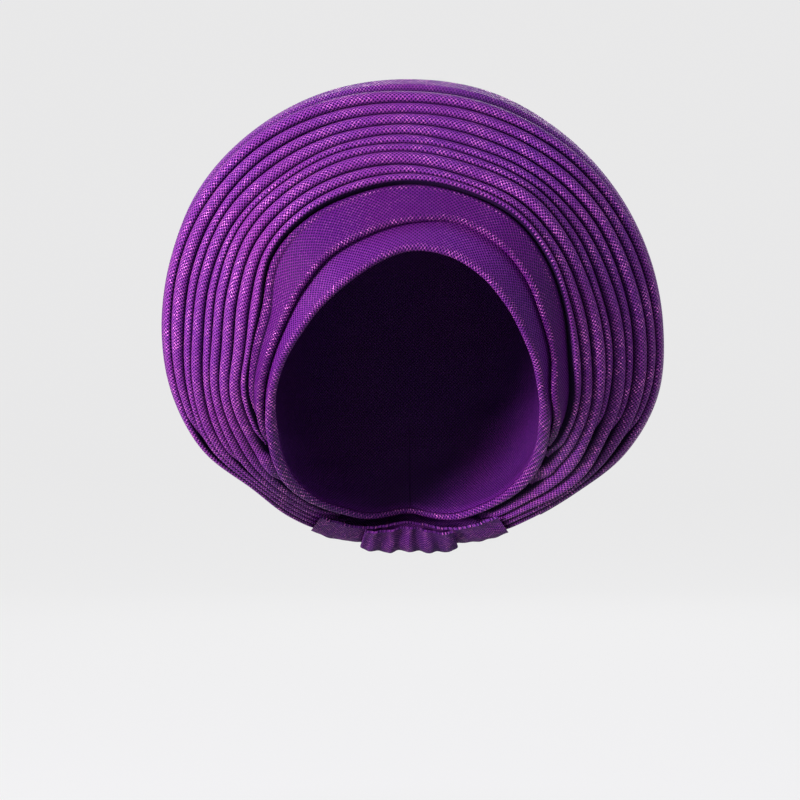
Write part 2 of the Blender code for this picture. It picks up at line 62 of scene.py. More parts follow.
# One row for each half-plane, every 15 degrees from -165, the viewer's lower left, round to 180, the nape.
STATION_COLUMNS = ("head", "edge_depth", "rim", "rim_depth", *FOLD_NAMES)
STATIONS = (
    (0.886, 0.785, 0.486, 1.11, 0.200, 0.240, 0.260, 0.300, 0.420, 0.550, 0.570, 0.690, 0.810, 0.840, 0.945),
    (0.778, 0.600, 0.524, 1.06, 0.200, 0.240, 0.250, 0.280, 0.420, 0.565, 0.570, 0.700, 0.835, 0.840, 0.940),
    (0.737, 0.312, 0.555, 0.80, 0.200, 0.220, 0.230, 0.270, 0.420, 0.575, 0.580, 0.710, 0.845, 0.850, 0.940),
    (0.717, 0.000, 0.589, 0.50, 0.170, 0.200, 0.215, 0.385, 0.555, 0.705, 0.715, 0.800, 0.875, 0.885, 0.950),
    (0.692, -0.260, 0.677, 0.31, 0.100, 0.219, 0.262, 0.389, 0.515, 0.619, 0.705, 0.815, 0.880, 0.922, 0.968),
    (0.704, -0.461, 0.748, 0.17, 0.088, 0.261, 0.313, 0.413, 0.508, 0.595, 0.660, 0.758, 0.820, 0.905, 0.958),
    (0.731, -0.620, 0.807, 0.10, 0.090, 0.261, 0.307, 0.400, 0.488, 0.570, 0.637, 0.729, 0.794, 0.894, 0.960),
    (0.781, -0.735, 0.864, 0.06, 0.110, 0.300, 0.367, 0.459, 0.539, 0.614, 0.673, 0.751, 0.816, 0.908, 0.964),
    (0.870, -0.809, 0.926, 0.03, 0.140, 0.393, 0.437, 0.509, 0.579, 0.638, 0.679, 0.757, 0.810, 0.890, 0.953),
    (0.955, -0.844, 0.964, 0.01, 0.166, 0.411, 0.453, 0.513, 0.582, 0.634, 0.667, 0.743, 0.807, 0.878, 0.941),
    (0.991, -0.835, 0.986, 0.00, 0.155, 0.394, 0.441, 0.501, 0.570, 0.625, 0.664, 0.728, 0.793, 0.856, 0.924),
    (1.000, -0.807, 0.989, -0.01, 0.150, 0.381, 0.422, 0.472, 0.548, 0.595, 0.651, 0.710, 0.777, 0.838, 0.906),
    (0.991, -0.800, 0.983, 0.00, 0.186, 0.372, 0.400, 0.448, 0.526, 0.575, 0.627, 0.695, 0.769, 0.839, 0.905),
    (0.955, -0.800, 0.952, 0.01, 0.197, 0.388, 0.415, 0.472, 0.554, 0.603, 0.656, 0.720, 0.796, 0.863, 0.925),
    (0.870, -0.773, 0.914, 0.03, 0.184, 0.370, 0.396, 0.459, 0.545, 0.601, 0.667, 0.737, 0.819, 0.884, 0.940),
    (0.781, -0.714, 0.871, 0.06, 0.152, 0.328, 0.357, 0.437, 0.525, 0.581, 0.663, 0.734, 0.826, 0.896, 0.951),
    (0.732, -0.645, 0.827, 0.10, 0.120, 0.282, 0.335, 0.420, 0.520, 0.578, 0.674, 0.739, 0.836, 0.909, 0.954),
    (0.704, -0.555, 0.785, 0.17, 0.085, 0.270, 0.329, 0.413, 0.510, 0.564, 0.671, 0.726, 0.834, 0.893, 0.943),
    (0.680, -0.330, 0.712, 0.31, 0.100, 0.248, 0.307, 0.415, 0.540, 0.575, 0.695, 0.730, 0.840, 0.880, 0.935),
    (0.700, 0.080, 0.621, 0.50, 0.100, 0.140, 0.220, 0.390, 0.615, 0.625, 0.830, 0.840, 0.900, 0.910, 0.960),
    (0.727, 0.363, 0.568, 0.80, 0.200, 0.220, 0.240, 0.280, 0.490, 0.495, 0.700, 0.705, 0.835, 0.840, 0.940),
    (0.778, 0.600, 0.531, 1.06, 0.200, 0.240, 0.250, 0.280, 0.480, 0.485, 0.680, 0.685, 0.830, 0.840, 0.940),
    (0.887, 0.780, 0.489, 1.11, 0.200, 0.240, 0.260, 0.310, 0.450, 0.520, 0.640, 0.680, 0.800, 0.850, 0.945),
    (0.963, 0.863, 0.463, 1.08, 0.200, 0.220, 0.240, 0.330, 0.420, 0.510, 0.600, 0.690, 0.780, 0.870, 0.950),
)

# The ridge along the brow band, at these angles: its distance from the first pleat's groove, its height, and
# how much it is a small rope of its own.
RIDGE_COLUMNS = ("angle", "distance", "height", "rope")
RIDGES = (
    (-98.0, 0.0034, 0.0002, 0.40),
    (-90.0, 0.0038, 0.0018, 0.90),
    (-75.0, 0.0048, 0.0028, 1.00),
    (-60.0, 0.0062, 0.0030, 1.00),
    (-45.0, 0.0044, 0.0027, 0.70),
    (-30.0, 0.0036, 0.0023, 0.25),
    (-15.0, 0.0029, 0.0020, 0.00),
    (0.0, 0.0023, 0.0018, 0.00),
    (15.0, 0.0023, 0.0016, 0.00),
    (30.0, 0.0028, 0.0013, 0.00),
    (45.0, 0.0030, 0.0008, 0.00),
    (60.0, 0.0030, 0.0003, 0.00),
    (102.0, 0.0030, 0.0000, 0.00),
)


class Held(Enum):
    GATHERED = "gathered"
    FOLDED = "folded"
    STRETCHED = "stretched"


class Slot(Enum):
    """The record's material slots."""

    PURPLE = "woven_purple"
    VIOLET = "woven_violet"


def eased(share: Array | float) -> Array:
    """Smooth step: 0 below 0, 1 above 1, and share squared times (3 - 2 share) between."""
    share = np.clip(share, 0.0, 1.0)
    return share * share * (3 - 2 * share)


def ramp(values: Array | float, start: Array | float, end: Array | float) -> Array:
    """Smooth step of values: 0 up to start and 1 from end on. End may be the lower one."""
    return eased((values - start) / (end - start))


def unit(vectors: Array) -> Array:
    """Vectors divided by their length, along the last axis."""
    return vectors / np.maximum(np.linalg.norm(vectors, axis=-1, keepdims=True), 1e-12)


def column(values: Array | float) -> Array:
    """Values as one column, to multiply vectors by."""
    return np.reshape(values, (-1, 1))


@dataclass(frozen=True)
class Waver:
    """Gentle irregularity: a sum of sine waves with seeded phases, between about -1 and 1."""

    seed: int
    lowest: int = 2
    highest: int = 9
    loudness: float = 1.6
    plane_waves: int = 9
    finest: float = 3.0
    plane_total: float = 3.0

    def along(self, angles: Array) -> Array:
        """The waver round the face.

        Args:
            angles: Angles in degrees.

        Returns:
            One value per angle: sines of whole numbers of waves a turn, weaker as they get finer.
        """
        chance = np.random.default_rng(self.seed)
        counts = np.arange(self.lowest, self.highest + 1)
        phases = chance.uniform(0, 2 * np.pi, counts.size)
        weights = chance.uniform(0.5, 1.0, counts.size) / np.sqrt(counts)
        waves = np.sin(np.radians(angles)[..., None] * counts + phases)
        return (waves * weights).sum(-1) / weights.sum() * self.loudness

    def over(self, u: Array, v: Array, wave_length: float) -> Array:
        """The waver over a surface.

        Args:
            u: Distance one way over the surface, in metres.
            v: Distance the other way.
            wave_length: The longest wave, in metres.

        Returns:
            A sum of plane waves in seeded directions, from the longest to a third of its length.
        """
        chance = np.random.default_rng(self.seed)
        total = np.zeros(np.broadcast(u, v).shape)
        for share in np.linspace(1.0, self.finest, self.plane_waves):
            way = chance.uniform(0, 2 * np.pi)
            wave = 2 * np.pi * share / wave_length
            total += np.sin(wave * (u * np.cos(way) + v * np.sin(way)) + chance.uniform(0, 2 * np.pi)) / share
        return total / self.plane_total


@dataclass(frozen=True)
class Fan:
    """The head tie's form: the hollow, the face edge, the rim and the grooves between folds.

    Each column of STATIONS is a share: of crown_height, head_half_length, rim_height or rim_reach_back, and
    for a groove of the way from the face edge to the rim. folds holds how far back each groove lies, as the
    same kind of share, and the fold's first and last angle in degrees.
    """

    crown_height: float = 0.108
    head_half_length: float = 0.0955
    head_squareness: float = 2.5
    rim_height: float = 0.1745
    rim_reach_back: float = 0.095
    gap: float = 0.0003
    wrap_cloth: float = 0.0015
    pleat_cloth: float = 0.0012
    tilt_top: float = 20.0
    tilt_side: float = 45.0
    tilt_nape: float = 25.0
    side_turn: tuple[float, float] = (60.0, 120.0)
    nape_turn: tuple[float, float] = (150.0, 180.0)
    waver: float = 0.0003
    waver_seed: int = 20
    waver_counts: tuple[int, int] = (5, 16)
    calm: tuple[float, float] = (140.0, 110.0)
    first_station: float = -165.0
    station_step: float = 15.0
    slant: float = 0.5
    folds: dict[str, tuple[float, float, float]] = field(default_factory=lambda: {
        "brow": (0.05, -108.0, 110.0),
        "pleat_1": (0.12, -109.0, 114.0),
        "pleat_2": (0.18, -126.0, 126.0),
        "pleat_3": (0.24, -150.0, 150.0),
        "pleat_4": (0.30, -150.0, 102.0),
        "pleat_5": (0.36, -114.0, 150.0),
        "pleat_6": (0.42, -150.0, 102.0),
        "pleat_7": (0.48, -150.0, 150.0),
        "pleat_8": (0.54, -102.0, 102.0),
        "pleat_9": (0.61, -150.0, 150.0),
        "drape": (0.72, -132.0, 132.0),
    })

    def station(self, column_name: str, angles: Array) -> Array:
        """One column of STATIONS at each angle.

        Args:
            column_name: The column.
            angles: Angles in degrees.

        Returns:
            The closed curve of cubics through the column's values, with slopes from their neighbours.
        """
        place = STATION_COLUMNS.index(column_name)
        table = np.array([row[place] for row in STATIONS])
        place = (np.asarray(angles, float) - self.first_station) / self.station_step
        index = np.floor(place).astype(int)
        share = place - index
        before, start, end, after = (table[(index + step) % table.size] for step in (-1, 0, 1, 2))
        square, cube = share**2, share**3
        return (
            (2 * cube - 3 * square + 1) * start
            + (cube - 2 * square + share) * (end - before) / 2
            + (3 * square - 2 * cube) * end
            + (cube - square) * (after - start) / 2
        )

    def head_at(self, angles: Array) -> Array:
        """The hollow's widest radius at each angle."""
        return self.crown_height * self.station("head", angles)

    def edge_depth_at(self, angles: Array) -> Array:
        """The face edge's depth at each angle."""
        return self.head_half_length * self.station("edge_depth", angles)

    def head_radius(self, angles: Array, depth: Array, grow: float = 0.0) -> Array:
        """The hollow's radius at a depth: a squared ellipse, grown by a wall."""
        share = np.clip(np.abs(depth) / (self.head_half_length + grow), 0.0, 1.0)
        power = self.head_squareness
        return (self.head_at(angles) + grow) * (1 - share**power) ** (1 / power)

    def rim_at(self, angles: Array) -> Array:
        """The rim's (radius, depth) at each angle."""
        return np.stack([
            self.rim_height * self.station("rim", angles),
            self.rim_reach_back * self.station("rim_depth", angles),
        ], axis=-1)

    def groove(self, name: str, angles: Array) -> Array:
        """The groove at the face side of a fold.

        Args:
            name: The fold's name.
            angles: Angles in degrees.

        Returns:
            Its (radius, depth): a share of the way from the face edge to the rim, with a slight waver.
        """
        edge_depth = self.edge_depth_at(angles)
        edge_radius = self.head_radius(angles, edge_depth)
        rim = self.rim_at(angles)
        waver = Waver(self.waver_seed + FOLD_NAMES.index(name), *self.waver_counts).along(angles)
        calm = ramp(np.abs(angles), *self.calm)
        radius = edge_radius + self.station(name, angles) * (rim[:, 0] - edge_radius)
        depth = edge_depth + self.folds[name][0] * (rim[:, 1] - edge_depth)
        return np.stack([radius + self.waver * waver * calm, depth], axis=-1)

    def turns(self, name: str, count: int) -> Array:
        """Angles evenly spaced from a fold's first to its last."""
        _, first, last = self.folds[name]
        return np.linspace(first, last, count)

    def page_axes(self, angles: Array) -> tuple[Array, Array]:
        """Unit vectors across the pages of the folds, and back along them, at each angle."""
        away = np.abs(angles)
        side = self.tilt_top + (self.tilt_side - self.tilt_top) * ramp(away, *self.side_turn)
        tilt = np.radians(side + (self.tilt_nape - side) * ramp(away, *self.nape_turn))
        across = np.stack([np.cos(tilt), np.sin(tilt)], axis=-1)
        along = np.stack([-np.sin(tilt), np.cos(tilt)], axis=-1)
        return across, along

    def in_space(self, sections: Array, angles: Array) -> Array:
        """Half-plane points (stations, points, 2) as points in space: the half-plane turned by each angle."""
        turn = np.radians(angles)[:, None]
        radius, depth = sections[..., 0], sections[..., 1]
        return np.stack([radius * np.sin(turn), depth, radius * np.cos(turn) - self.crown_height], axis=-1)


def wrapped(angles: Array) -> Array:
    """Angles brought into the range from -180 to 180 degrees."""
    return (np.asarray(angles) + 180.0) % 360.0 - 180.0


def leg(start: Array, end: Array, count: int) -> list[Array]:
    """Points evenly spaced from start to just before end."""
    return [start + share * (end - start) for share in np.linspace(0, 1, count, endpoint=False)]


def fold_arc(centre: Array, radius: float, start: Array, over: Array, count: int = 17) -> list[Array]:
    """Points of the half circle round a fold, from start, past over, to the far side of start."""
    turns = np.linspace(0, np.pi, count)
    return [centre + radius * (np.cos(turn) * start + np.sin(turn) * over) for turn in turns]


def soft_corner(before: Array, corner: Array, after: Array, reach: float, count: int = 7) -> list[Array]:
    """Points that round a corner.

    Args:
        before: A point on the line into the corner.
        corner: The corner.
        after: A point on the line out of it.
        reach: How far from the corner the curve starts and ends.
        count: How many points the curve has.

    Returns:
        A quadratic curve from reach before the corner to reach after it.
    """
    start = corner + reach * unit(before - corner)
    end = corner + reach * unit(after - corner)
    return [
        (1 - t) ** 2 * start + 2 * t * (1 - t) * corner + t**2 * end for t in np.linspace(0, 1, count)
    ]


def smoothed(paths: Array, times: int) -> Array:
    """Paths with their corners cut: each step is split at a quarter and three quarters of its length."""
    for _ in range(times):
        early = 0.75 * paths[:, :-1] + 0.25 * paths[:, 1:]
        late = 0.25 * paths[:, :-1] + 0.75 * paths[:, 1:]
        middle = np.stack([early, late], axis=2).reshape(paths.shape[0], -1, paths.shape[2])
        paths = np.concatenate([paths[:, :1], middle, paths[:, -1:]], axis=1)
    return paths


def arc_length(points: Array, axis: int) -> Array:
    """The running length of a grid's lines along one axis, from 0."""
    steps = np.linalg.norm(np.diff(points, axis=axis), axis=-1)
    zero = np.zeros_like(np.take(steps, [0], axis=axis))
    return np.concatenate([zero, np.cumsum(steps, axis=axis)], axis=axis)


@dataclass
class Wall:
    """A cloth wall given by its middle surface: rows along the fold, columns across it.

    middle is (rows, columns, 3), normals point to one face of the cloth, thickness is one value or one per
    row, and uv is (rows, columns, 2) in metres. From 0 to 1, crest marks the rolled and folded edges, and the
    other mark says how far a point lies out of the folds' shade; the material paints that shade in.
    """

    middle: Array
    normals: Array
    thickness: Array | float
    uv: Array
    crest: Array
    unshaded: Array
    closed: bool = False
    round_length: float = 0.0

    def area(self) -> float:
        """The cloth's area: half the sum of the cross products of each quad's diagonals."""
        grid = np.concatenate([self.middle, self.middle[:1]]) if self.closed else self.middle
        one = grid[1:, 1:] - grid[:-1, :-1]
        other = grid[1:, :-1] - grid[:-1, 1:]
        return float(np.linalg.norm(np.cross(one, other), axis=-1).sum() / 2)

    def mesh(self, name: str) -> bpy.types.Mesh:
        """Makes the closed mesh of the wall.

        Args:
            name: The mesh's name.

        Returns:
            Both faces of the cloth joined by quads round its cut edges, facing outwards, with the UV map
            "weave" and the attributes "crest" and "bare". A row's ring runs up one face and down the other.
        """
        half = np.reshape(self.thickness, (-1, 1, 1)) / 2 * self.normals
        rings = np.concatenate([self.middle + half, (self.middle - half)[:, ::-1]], axis=1)
        rows, size = rings.shape[:2]
        uv = np.concatenate([self.uv, self.uv[:, ::-1]], axis=1)
        row = np.arange(rows if self.closed else rows - 1)[:, None]
        here = np.arange(size)[None, :]
        after, there = (here + 1) % size, (row + 1) % rows
        corners = [(row, here), (row, after), (there, after), (there, here)]
        quads = np.stack([np.broadcast_to(r * size + c, (row.size, size)) for r, c in corners], axis=-1)
        laps = [np.zeros_like(row), np.zeros_like(row), row + 1 == rows, row + 1 == rows]
        lap = np.stack([np.broadcast_to(turn, (row.size, size)) for turn in laps], axis=-1)
        quads, lap = quads.reshape(-1, 4), lap.reshape(-1, 4)
        if not self.closed:
            columns = np.arange(size // 2 - 1)
            cap = np.stack([columns, size - 1 - columns, size - 2 - columns, columns + 1], axis=-1)
            last = (rows - 1) * size + cap[:, ::-1]
            quads = np.concatenate([quads, cap, last])
            lap = np.concatenate([lap, np.zeros((2 * len(cap), 4), bool)])
        points = rings.reshape(-1, 3)
        a, b, c, d = (points[quads[:, i]] for i in range(4))
        volume = ((a * np.cross(b, c)).sum() + (a * np.cross(c, d)).sum()) / 6
        if volume < 0:
            quads, lap = quads[:, ::-1], lap[:, ::-1]
        data = bpy.data.meshes.new(name)
        data.vertices.add(len(points))
        data.vertices.foreach_set("co", points.astype(np.float32).ravel())
        data.loops.add(quads.size)
        data.loops.foreach_set("vertex_index", quads.astype(np.int32).ravel())
        data.polygons.add(len(quads))
        data.polygons.foreach_set("loop_start", np.arange(0, quads.size, 4, dtype=np.int32))
        data.update(calc_edges=True)
        layer = data.uv_layers.new(name="weave")
        flat = uv.reshape(-1, 2)[quads.ravel()]
        flat[:, 0] += lap.ravel() * self.round_length
        layer.data.foreach_set("uv", flat.astype(np.float32).ravel())
        for title, values in (("crest", self.crest), ("unshaded", self.unshaded)):
            both = np.concatenate([values, values[:, ::-1]], axis=1)
            mark = data.attributes.new(title, "FLOAT", "POINT")
            mark.data.foreach_set("value", both.astype(np.float32).ravel())
        data.validate()
        data.shade_smooth()
        data.set_sharp_from_angle(angle=math.radians(SMOOTH_BELOW_DEG))
        return data


def wall_of_sections(fan: Fan, sections: Array, angles: Array, thickness: Array | float,
                     crest: Array, unshaded: Array, closed: bool = False) -> Wall:
    """A wall whose rows are paths in half-planes.

    Args:
        fan: The head tie's form, which places the half-planes.
        sections: Paths of shape (angles, points, 2).
        angles: The half-planes' angles in degrees.
        thickness: The cloth's thickness, one value or one per angle.
        crest: How much each point is a folded edge, of shape (angles, points) or (points,).
        unshaded: How far each point lies out of the folds' shade, of the same shape.
        closed: Whether the last row joins the first.

    Returns:
        The wall. Its normals are the paths' own in each half-plane, lengthened at corners so that the two
        faces stay parallel, and its UVs are the length round the face and the length across the fold.
    """
    steps = unit(np.diff(sections, axis=1))
    turned = np.stack([-steps[..., 1], steps[..., 0]], axis=-1)
    joined = unit(turned[:, :-1] + turned[:, 1:])
    mitre = 1 / np.maximum((joined * turned[:, 1:]).sum(-1, keepdims=True), MITRE_LIMIT)
    offsets = np.concatenate([turned[:, :1], joined * mitre, turned[:, -1:]], axis=1)
    turn = np.radians(angles)[:, None]
    outward, back = offsets[..., 0], offsets[..., 1]
    normals = np.stack([outward * np.sin(turn), back, outward * np.cos(turn)], axis=-1)
    across, half = arc_length(sections, 1), sections.shape[1] // 2
    middle = across - across[:, half:half + 1]
    radius = np.abs(sections[:, half, 0])
    stride = np.radians(np.abs(np.diff(angles, append=2 * angles[-1] - angles[-2]))) * radius.mean()
    run = np.concatenate([[0.0], np.cumsum(stride)])
    uv = np.stack([np.broadcast_to(run[:-1, None], middle.shape), middle], axis=-1)
    marks = [np.broadcast_to(values, middle.shape) for values in (crest, unshaded)]
    return Wall(fan.in_space(sections, angles), normals, thickness, uv, *marks, closed, float(run[-1]))


@dataclass(frozen=True)
class Value:
    """A shader socket that Python's operators work on. Each operation adds one Math node."""

    bench: "Bench"
    socket: bpy.types.NodeSocket

    def _with(self, operation: str, *inputs: "Value | float") -> "Value":
        """The result of a Math node."""
        return self.bench.math(operation, *inputs)

    def __add__(self, other: "Value | float") -> "Value":
        """self + other."""
        return self._with("ADD", self, other)

    def __sub__(self, other: "Value | float") -> "Value":
        """self - other."""
        return self._with("SUBTRACT", self, other)

    def __rsub__(self, other: float) -> "Value":
        """other - self."""
        return self._with("SUBTRACT", other, self)

    def __mul__(self, other: "Value | float") -> "Value":
        """self * other."""
        return self._with("MULTIPLY", self, other)

    def __truediv__(self, other: "Value | float") -> "Value":
        """self / other."""
        return self._with("DIVIDE", self, other)

    def __pow__(self, other: "Value | float") -> "Value":
        """self to the power of other."""
        return self._with("POWER", self, other)

    __radd__ = __add__

    def nearest(self) -> "Value":
        """The nearest whole number."""
        return self._with("ROUND", self)

    def cosine(self) -> "Value":
        """The cosine of an angle in radians."""
        return self._with("COSINE", self)

    def larger(self, other: "Value | float") -> "Value":
        """The larger of two values."""
        return self._with("MAXIMUM", self, other)

    def clipped(self) -> "Value":
        """The value kept between 0 and 1."""
        return self._with("MINIMUM", self.larger(0.0), 1.0)

    def above(self, low: float, high: float) -> "Value":
        """0 below low, 1 above high, and a smooth step between."""
        return self.bench.step(self, low, high)


@dataclass
class Bench:
    """A material's node tree, and the few ways in which nodes are added to it."""

    tree: bpy.types.NodeTree

    def node(self, kind: str, settings: dict[str, object], inputs: dict[str | int, object]) -> bpy.types.Node:
        """Adds a node.

        Args:
            kind: The node's type.
            settings: Its properties, set before its sockets.
            inputs: Values, Value objects or sockets for its input sockets, by name or number.

        Returns:
            The node.
        """
        made = self.tree.nodes.new(kind)
        for name, value in settings.items():
            setattr(made, name, value)
        for name, value in inputs.items():
            socket = value.socket if isinstance(value, Value) else value
            if isinstance(socket, bpy.types.NodeSocket):
                self.tree.links.new(socket, made.inputs[name])
            else:
                made.inputs[name].default_value = socket
        return made

    def math(self, operation: str, *inputs: Value | float) -> Value:
        """A Math node's result."""
        made = self.node("ShaderNodeMath", {"operation": operation}, dict(enumerate(inputs)))
        return Value(self, made.outputs[0])

    def step(self, value: Value, low: float, high: float) -> Value:
        """A smooth step of a value from low to high."""
        made = self.node("ShaderNodeMapRange", {"interpolation_type": "SMOOTHSTEP"},
                         {"Value": value, "From Min": low, "From Max": high})
        return Value(self, made.outputs["Result"])

    def blend(self, share: Value | float, first: object, second: object) -> bpy.types.NodeSocket:
        """A colour between two colours or sockets, by share."""
        made = self.node("ShaderNodeMix", {"data_type": "RGBA"}, {0: share, 6: first, 7: second})
        return made.outputs[2]

    def vector(self, x: object, y: object, z: object) -> bpy.types.NodeSocket:
        """A vector made of three values."""
        return self.node("ShaderNodeCombineXYZ", {}, {0: x, 1: y, 2: z}).outputs[0]

    def noise(self, place: bpy.types.NodeSocket, scale: float, detail: float = 2.0) -> Value:
        """Smooth noise from about 0.25 to 0.75 at a place."""
        made = self.node("ShaderNodeTexNoise", {}, {"Vector": place, "Scale": scale, "Detail": detail})
        return Value(self, made.outputs["Fac"])


@dataclass(frozen=True)
class WovenCloth:
    """Stiff cloth whose strands cross at 45 degrees to the fold, with glossy pink yarn and painted glints on
    their crowns.

    rope_pitch and flat_pitch are the net's repeat on folded edges and on flat cloth, and strand is a strand's
    half width as a share of it. hollow and ground are the colours in the net's holes and on its strands, the
    pink yarn's colour goes on their crowns and is also their painted glint, cool is what the dye drifts to,
    and the darkest colour is painted shade for the cloth in the folds. shade is how much of the lit colour
    still shows where that painted shade is full. glint is how much of the crowns' colour shows, and
    flat_glint the same on flat cloth. sway is how much a strand rises and falls along itself, wander how far
    the net strays, and the scales are those of the noises.
    Each pair that ends in _range is a smooth step's start and end: of the crest where the coarse net takes
    over, of the height where strands and crowns begin, and of the chance and the noise that pick glossy
    crossings and patches.
    """

    name: str
    slot: Slot
    rope_pitch: float = 0.00190
    flat_pitch: float = 0.00172
    strand: float = 0.27
    painted_fold_shade: Colour = (0.006, 0.000, 0.030, 1.0)
    hollow: Colour = (0.022, 0.000, 0.075, 1.0)
    ground: Colour = (0.305, 0.030, 0.420, 1.0)
    thread_glint: Colour = (1.00, 0.24, 0.86, 1.0)
    cool: Colour = (0.150, 0.022, 0.440, 1.0)
    glint: float = 1.0
    flat_glint: float = 0.16
    flat_contrast: float = 0.80
    coolness: float = 0.25
    shade: float = 0.08
    relief: float = 0.00044
    roughness: float = 0.52
    sheen: float = 0.01
    sway: float = 0.22
    wander: float = 0.0011
    wander_scale: float = 60.0
    broad_scale: float = 22.0
    patch_scale: float = 45.0
    slub_scale: float = 240.0
    rope_range: tuple[float, float] = (0.10, 0.40)
    strand_range: tuple[float, float] = (0.12, 0.72)
    crown_range: tuple[float, float] = (0.70, 0.96)
    chance_range: tuple[float, float] = (0.30, 0.90)
    patch_range: tuple[float, float] = (0.40, 0.66)
    dye_drift: float = 1.3
    slub_drift: float = 1.2
    flat_relief: float = 0.6
    thread_metal: float = 0.4
    sheen_roughness: float = 0.45
    sheen_tint: Colour = (0.75, 0.30, 0.90, 1.0)
    specular: float = 0.12

    def net(self, bench: Bench, u: Value, v: Value, pitch: float) -> tuple[Value, Value]:
        """A net of two sets of strands.

        Args:
            bench: The material's nodes.
            u: Length along the fold, in metres.
            v: Length across the fold.
            pitch: The net's repeat.

        Returns:
            The height, from 0 in the holes to 1 on the crowns, and a chance value for each crossing. The
            place is p = (u + v) / pitch and q = (u - v) / pitch. Each set's height is a half ellipse across
            the strand times a wave along it, one set high where the other is low, and the larger one shows.
        """
        p, q = (u + v) / pitch, (u - v) / pitch
        row, line = p.nearest(), q.nearest()
        across_one, across_other = (p - row) / self.strand, (q - line) / self.strand
        one = (1.0 - across_one * across_one).larger(0.0) ** 0.5
        other = (1.0 - across_other * across_other).larger(0.0) ** 0.5
        over = (1.0 - self.sway) + ((q + row) * math.pi).cosine() * self.sway
        under = (1.0 - self.sway) - ((p + line) * math.pi).cosine() * self.sway
        cell = bench.node("ShaderNodeTexWhiteNoise", {"noise_dimensions": "2D"},
                          {"Vector": bench.vector(row, line, 0.0)})
        return (one * over).larger(other * under), Value(bench, cell.outputs["Value"])

    def material(self) -> bpy.types.Material:
        """Builds the material.

        Returns:
            The net on the folded edges and the finer net on flat cloth are mixed by the crest. Holes are
            dark, strands are the dye, which drifts slowly between two hues, and crowns are glossy pink yarn,
            some more than others; these glints are partly painted highlight, stronger on folded edges and out
            of the folds' shade. Cloth in the folds is darkened towards a near-black violet, as painted shade.
        """
        made = bpy.data.materials.new(self.name)
        made.use_nodes = True
        bench = Bench(made.node_tree)
        shader = made.node_tree.nodes["Principled BSDF"]
        uv = bench.node("ShaderNodeUVMap", {"uv_map": "weave"}, {}).outputs["UV"]
        place = bench.node("ShaderNodeTexCoord", {}, {}).outputs["Object"]
        crest, unshaded = (
            Value(bench, bench.node("ShaderNodeAttribute", {"attribute_name": title}, {}).outputs["Fac"])
            for title in ("crest", "unshaded")
        )
        parts = bench.node("ShaderNodeSeparateXYZ", {}, {0: uv})
        wander = (bench.noise(place, self.wander_scale) - 0.5) * self.wander
        u = Value(bench, parts.outputs[0]) + wander
        v = Value(bench, parts.outputs[1]) + wander * 0.5
        coarse, coarse_chance = self.net(bench, u, v, self.rope_pitch)
        fine, fine_chance = self.net(bench, u, v, self.flat_pitch)
        rope = crest.above(*self.rope_range)
        height = fine + (coarse - fine) * rope
        chance = fine_chance + (coarse_chance - fine_chance) * rope
        broad = bench.noise(place, self.broad_scale, 3.0)
        slub = bench.noise(place, self.slub_scale, 1.0)
        drift = ((broad - 0.5) * self.dye_drift + self.coolness).clipped()
        dye = bench.blend(drift, self.ground, self.cool)
        body = height.above(*self.strand_range)
        floor = (1.0 - rope) * (1.0 - self.flat_contrast)
        cloth = bench.blend(body + (1.0 - body) * floor, self.hollow, dye)
        patch = bench.noise(place, self.patch_scale).above(*self.patch_range)
        chosen = chance.above(*self.chance_range) * (patch * 0.7 + 0.4) + patch * 0.15 + 0.10
        # Painted highlight: the pink glints are stronger on folded edges and where the cloth lies out of the
        # folds' shade.
        crown = height.above(*self.crown_range) * chosen * (unshaded * 0.7 + 0.3)
        shown = crown * (rope * (self.glint - self.flat_glint) + self.flat_glint)
        shine = (shown * ((slub - 0.5) * self.slub_drift + 1.0)).clipped()
        lit = bench.blend(shine, cloth, self.thread_glint)
        # Painted shade: cloth in the folds is darkened towards a near-black violet.
        shaded = bench.blend(unshaded * (1.0 - self.shade) + self.shade, self.painted_fold_shade, lit)
        depth = rope * (1.0 - self.flat_relief) + self.flat_relief
        bump = bench.node("ShaderNodeBump", {}, {
            "Strength": 1.0, "Distance": self.relief, "Height": height * depth + chance * 0.10,
        })
        settings = {
            "Base Color": shaded,
            "Roughness": self.roughness - shine * 0.24 + (slub - 0.5) * 0.2 + (1.0 - unshaded) * 0.4,
            "Metallic": shine * self.thread_metal,
            "Normal": bump.outputs["Normal"],
        }
        for name, value in settings.items():
            socket = value.socket if isinstance(value, Value) else value
            made.node_tree.links.new(socket, shader.inputs[name])
        shader.inputs["Sheen Weight"].default_value = self.sheen
        shader.inputs["Sheen Roughness"].default_value = self.sheen_roughness
        shader.inputs["Sheen Tint"].default_value = self.sheen_tint
        shader.inputs["Specular IOR Level"].default_value = self.specular
        return made


@dataclass
class ClothPiece:
    """One piece of cloth: what it is called, which node it stands for, its finish and how it is held."""

    name: str
    node: str
    finish: WovenCloth
    held: Held
    rests_on: tuple[str, ...]

    def wall(self, fan: Fan) -> Wall:
        """The piece's cloth wall. Each kind of piece works out its own."""
        raise NotImplementedError

    def dress(self, fan: Fan, materials: dict[str, bpy.types.Material]) -> bpy.types.Object:
        """Args:
            fan: The head tie's form.
            materials: The materials made so far, by name.

        Returns:
            The finished object.
        """
        wall = self.wall(fan)
        data = wall.mesh(self.name)
        if self.finish.name not in materials:
            materials[self.finish.name] = self.finish.material()
        data.materials.append(materials[self.finish.name])
        piece = bpy.data.objects.new(self.name, data)
        bpy.context.scene.collection.objects.link(piece)
        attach(piece, "root")
        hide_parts(self.node)
        area, spine = wall.area(), wall.middle.mean(1)
        long = float(np.linalg.norm(np.diff(spine, axis=0), axis=-1).sum())
        area / long
        size = (area / long * 1e3, long * 1e3)
        LOG.info("%s: %d faces, flat %.0f by %.0f mm", self.name, len(data.polygons), *size)
        return piece


